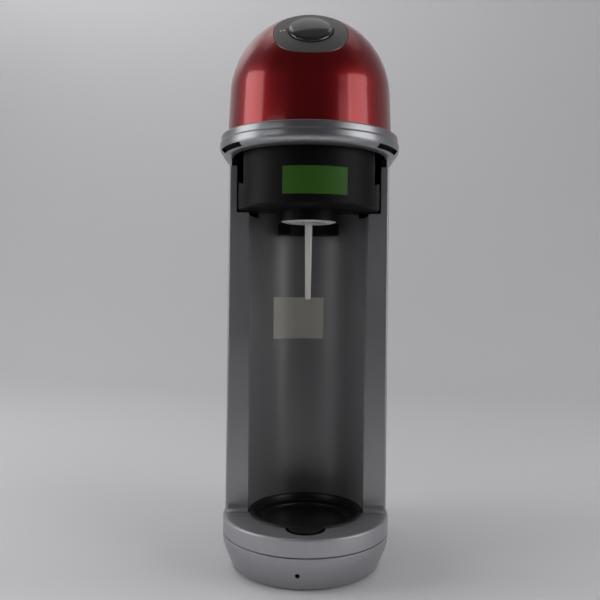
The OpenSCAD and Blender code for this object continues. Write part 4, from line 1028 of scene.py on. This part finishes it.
class MAKER_OT_stage(bpy.types.Operator):
    """Set up the pale studio bowl, the soft lamps, the world and the camera"""

    bl_idname = "maker.stage"
    bl_label = "Studio"

    def execute(self, context):
        scene = context.scene
        scene.view_settings.view_transform = "Standard"
        self.bowl(scene)
        self.world(scene)
        dome = (0, -0.06, 0.35)
        self.lamp("lamp_left", (-1.00, -0.14, 0.45), dome, (0.60, 0.80), 4.0)
        self.lamp("lamp_right", (1.00, -0.42, 0.43), dome, (0.60, 0.78), 3.8)
        self.lamp("lamp_right_soft", (1.00, -0.92, 0.44), dome, (0.44, 0.82), 1.3)
        self.lamp("lamp_left_soft", (-0.95, -0.95, 0.36), (0, -0.06, 0.30), (0.60, 0.66), 1.2)
        self.lamp("lamp_front", (0.0, -1.90, 0.30), (0, -0.06, 0.20), (2.00, 0.55), 2.0)
        self.lamp("lamp_top", (-0.10, 0.40, 1.70), (0, 0.10, 0), (1.20, 0.80), 1.4)
        self.lamp("lamp_floor", (0.0, -0.29, 1.40), (0, -0.29, 0), (0.90, 0.14), 0.45, 15)
        self.lamp("floor_left", (-0.80, 0.50, 1.50), (-0.80, 0.50, 0), (0.70, 1.10), 1.3, 90)
        self.lamp("floor_right", (0.80, 0.50, 1.50), (0.80, 0.50, 0), (0.70, 1.10), 0.7, 90)
        self.lamp("lamp_back", (-0.80, 0.75, 1.80), (-0.60, 1.90, 1.95), (1.40, 0.80), 11.0)
        self.camera(scene)
        return {"FINISHED"}

    def bowl(self, scene):
        """Floor that curves up into a round backdrop."""
        reach, curve, rim, flat = 1.9, 0.9, 3.0, 0.4
        bend = arc_points((reach - curve, curve), curve, -90, 0, 16)
        bm = turned([(0, 0), (flat, 0), *bend, (reach, rim)], steps=64)
        face_from(bm, (0, 0, rim / 2), outward=False)
        to_object("studio_bowl", bm, [self.paper(scene.maker_colours.floor)])

    def paper(self, base):
        """Matte backdrop paper with painted shade: its colour fades towards black on the camera's side,
        where the room behind it was unlit.
        """
        material = bpy.data.materials.new("Backdrop paper")
        tree = blank_tree(material)
        coords = add_node(tree, "ShaderNodeTexCoord").outputs["Object"]
        depth = add_node(tree, "ShaderNodeSeparateXYZ", {"Vector": coords}).outputs["Y"]
        # Painted shade: the paper's colour is mixed towards black from its middle to the camera's side
        share = add_node(tree, "ShaderNodeMapRange", {
            "Value": depth, "From Min": -0.8, "From Max": -0.2, "To Min": 0.25, "To Max": 1.0,
        }).outputs["Result"]
        black = (0.0, 0.0, 0.0, 1.0)
        tint = add_node(tree, "ShaderNodeMix", {0: share, 6: black, 7: base}, data_type="RGBA")
        bsdf = add_node(tree, "ShaderNodeBsdfPrincipled", {
            "Base Color": tint.outputs[2], "Roughness": 0.9, "Specular IOR Level": 0.1,
        })
        add_node(tree, "ShaderNodeOutputMaterial", {"Surface": bsdf.outputs["BSDF"]})
        return material

    def world(self, scene):
        """Dim even light from all round."""
        scene.world = bpy.data.worlds.new("Studio")
        tree = blank_tree(scene.world)
        glow = {"Color": (0.8, 0.8, 0.82, 1.0), "Strength": 0.25}
        light = add_node(tree, "ShaderNodeBackground", glow)
        add_node(tree, "ShaderNodeOutputWorld", {"Surface": light.outputs["Background"]})

    def lamp(self, name, at, target, shape, power, spread=180):
        """A soft box aimed at a point, with its light's spread in degrees."""
        light = bpy.data.lights.new(name, "AREA")
        light.shape = "RECTANGLE"
        light.size, light.size_y = shape
        light.energy = power
        light.spread = math.radians(spread)
        obj = bpy.data.objects.new(name, light)
        bpy.context.scene.collection.objects.link(obj)
        obj.location = at
        obj.rotation_euler = (Vector(target) - Vector(at)).to_track_quat("-Z", "Y").to_euler()

    def camera(self, scene):
        """Camera in front, level, with the photograph's framing and its slight roll."""
        place, roll = (0, -0.5825, 0.2197), math.radians(0.64)
        lens = bpy.data.cameras.new("photo_camera")
        lens.sensor_width = 36
        lens.lens = 41.52
        lens.shift_x = -0.0133
        lens.shift_y = -0.0233
        obj = bpy.data.objects.new("photo_camera", lens)
        scene.collection.objects.link(obj)
        turn_up = Matrix.Rotation(math.radians(90), 4, "X") @ Matrix.Rotation(roll, 4, "Z")
        obj.matrix_world = Matrix.Translation(place) @ turn_up
        scene.camera = obj


class MAKER_PT_panel(bpy.types.Panel):
    """Sizes, colours and steps of the sparkling water maker"""

    bl_idname = "MAKER_PT_panel"
    bl_label = "Water maker"
    bl_space_type = "VIEW_3D"
    bl_region_type = "UI"
    bl_category = "Water maker"

    def draw(self, context):
        for group in (context.scene.maker_sizes, context.scene.maker_colours):
            for key in group.__annotations__:
                self.layout.prop(group, key)
        for step in STEPS:
            self.layout.operator(step.bl_idname)


STEPS = (
    MAKER_OT_finishes, MAKER_OT_stage, MAKER_OT_base, MAKER_OT_column, MAKER_OT_tray, MAKER_OT_ring,
    MAKER_OT_dome, MAKER_OT_controls, MAKER_OT_bottle_head, MAKER_OT_labels, MAKER_OT_gas,
)
CLASSES = (MakerSizes, MakerColours, *STEPS, MAKER_PT_panel)


def register():
    """Register the classes and the scene's two groups of values."""
    for cls in CLASSES:
        bpy.utils.register_class(cls)
    bpy.types.Scene.maker_sizes = PointerProperty(type=MakerSizes)
    bpy.types.Scene.maker_colours = PointerProperty(type=MakerColours)


def unregister():
    """Take the classes and the scene's values away again."""
    del bpy.types.Scene.maker_colours
    del bpy.types.Scene.maker_sizes
    for cls in reversed(CLASSES):
        bpy.utils.unregister_class(cls)


def main():
    """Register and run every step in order."""
    register()
    bpy.ops.maker.finishes()
    bpy.ops.maker.stage()
    bpy.ops.maker.base()
    bpy.ops.maker.column()
    bpy.ops.maker.tray()
    bpy.ops.maker.ring()
    bpy.ops.maker.dome()
    bpy.ops.maker.controls()
    bpy.ops.maker.bottle_head()
    bpy.ops.maker.labels()
    bpy.ops.maker.gas()


if __name__ == "__main__":
    main()
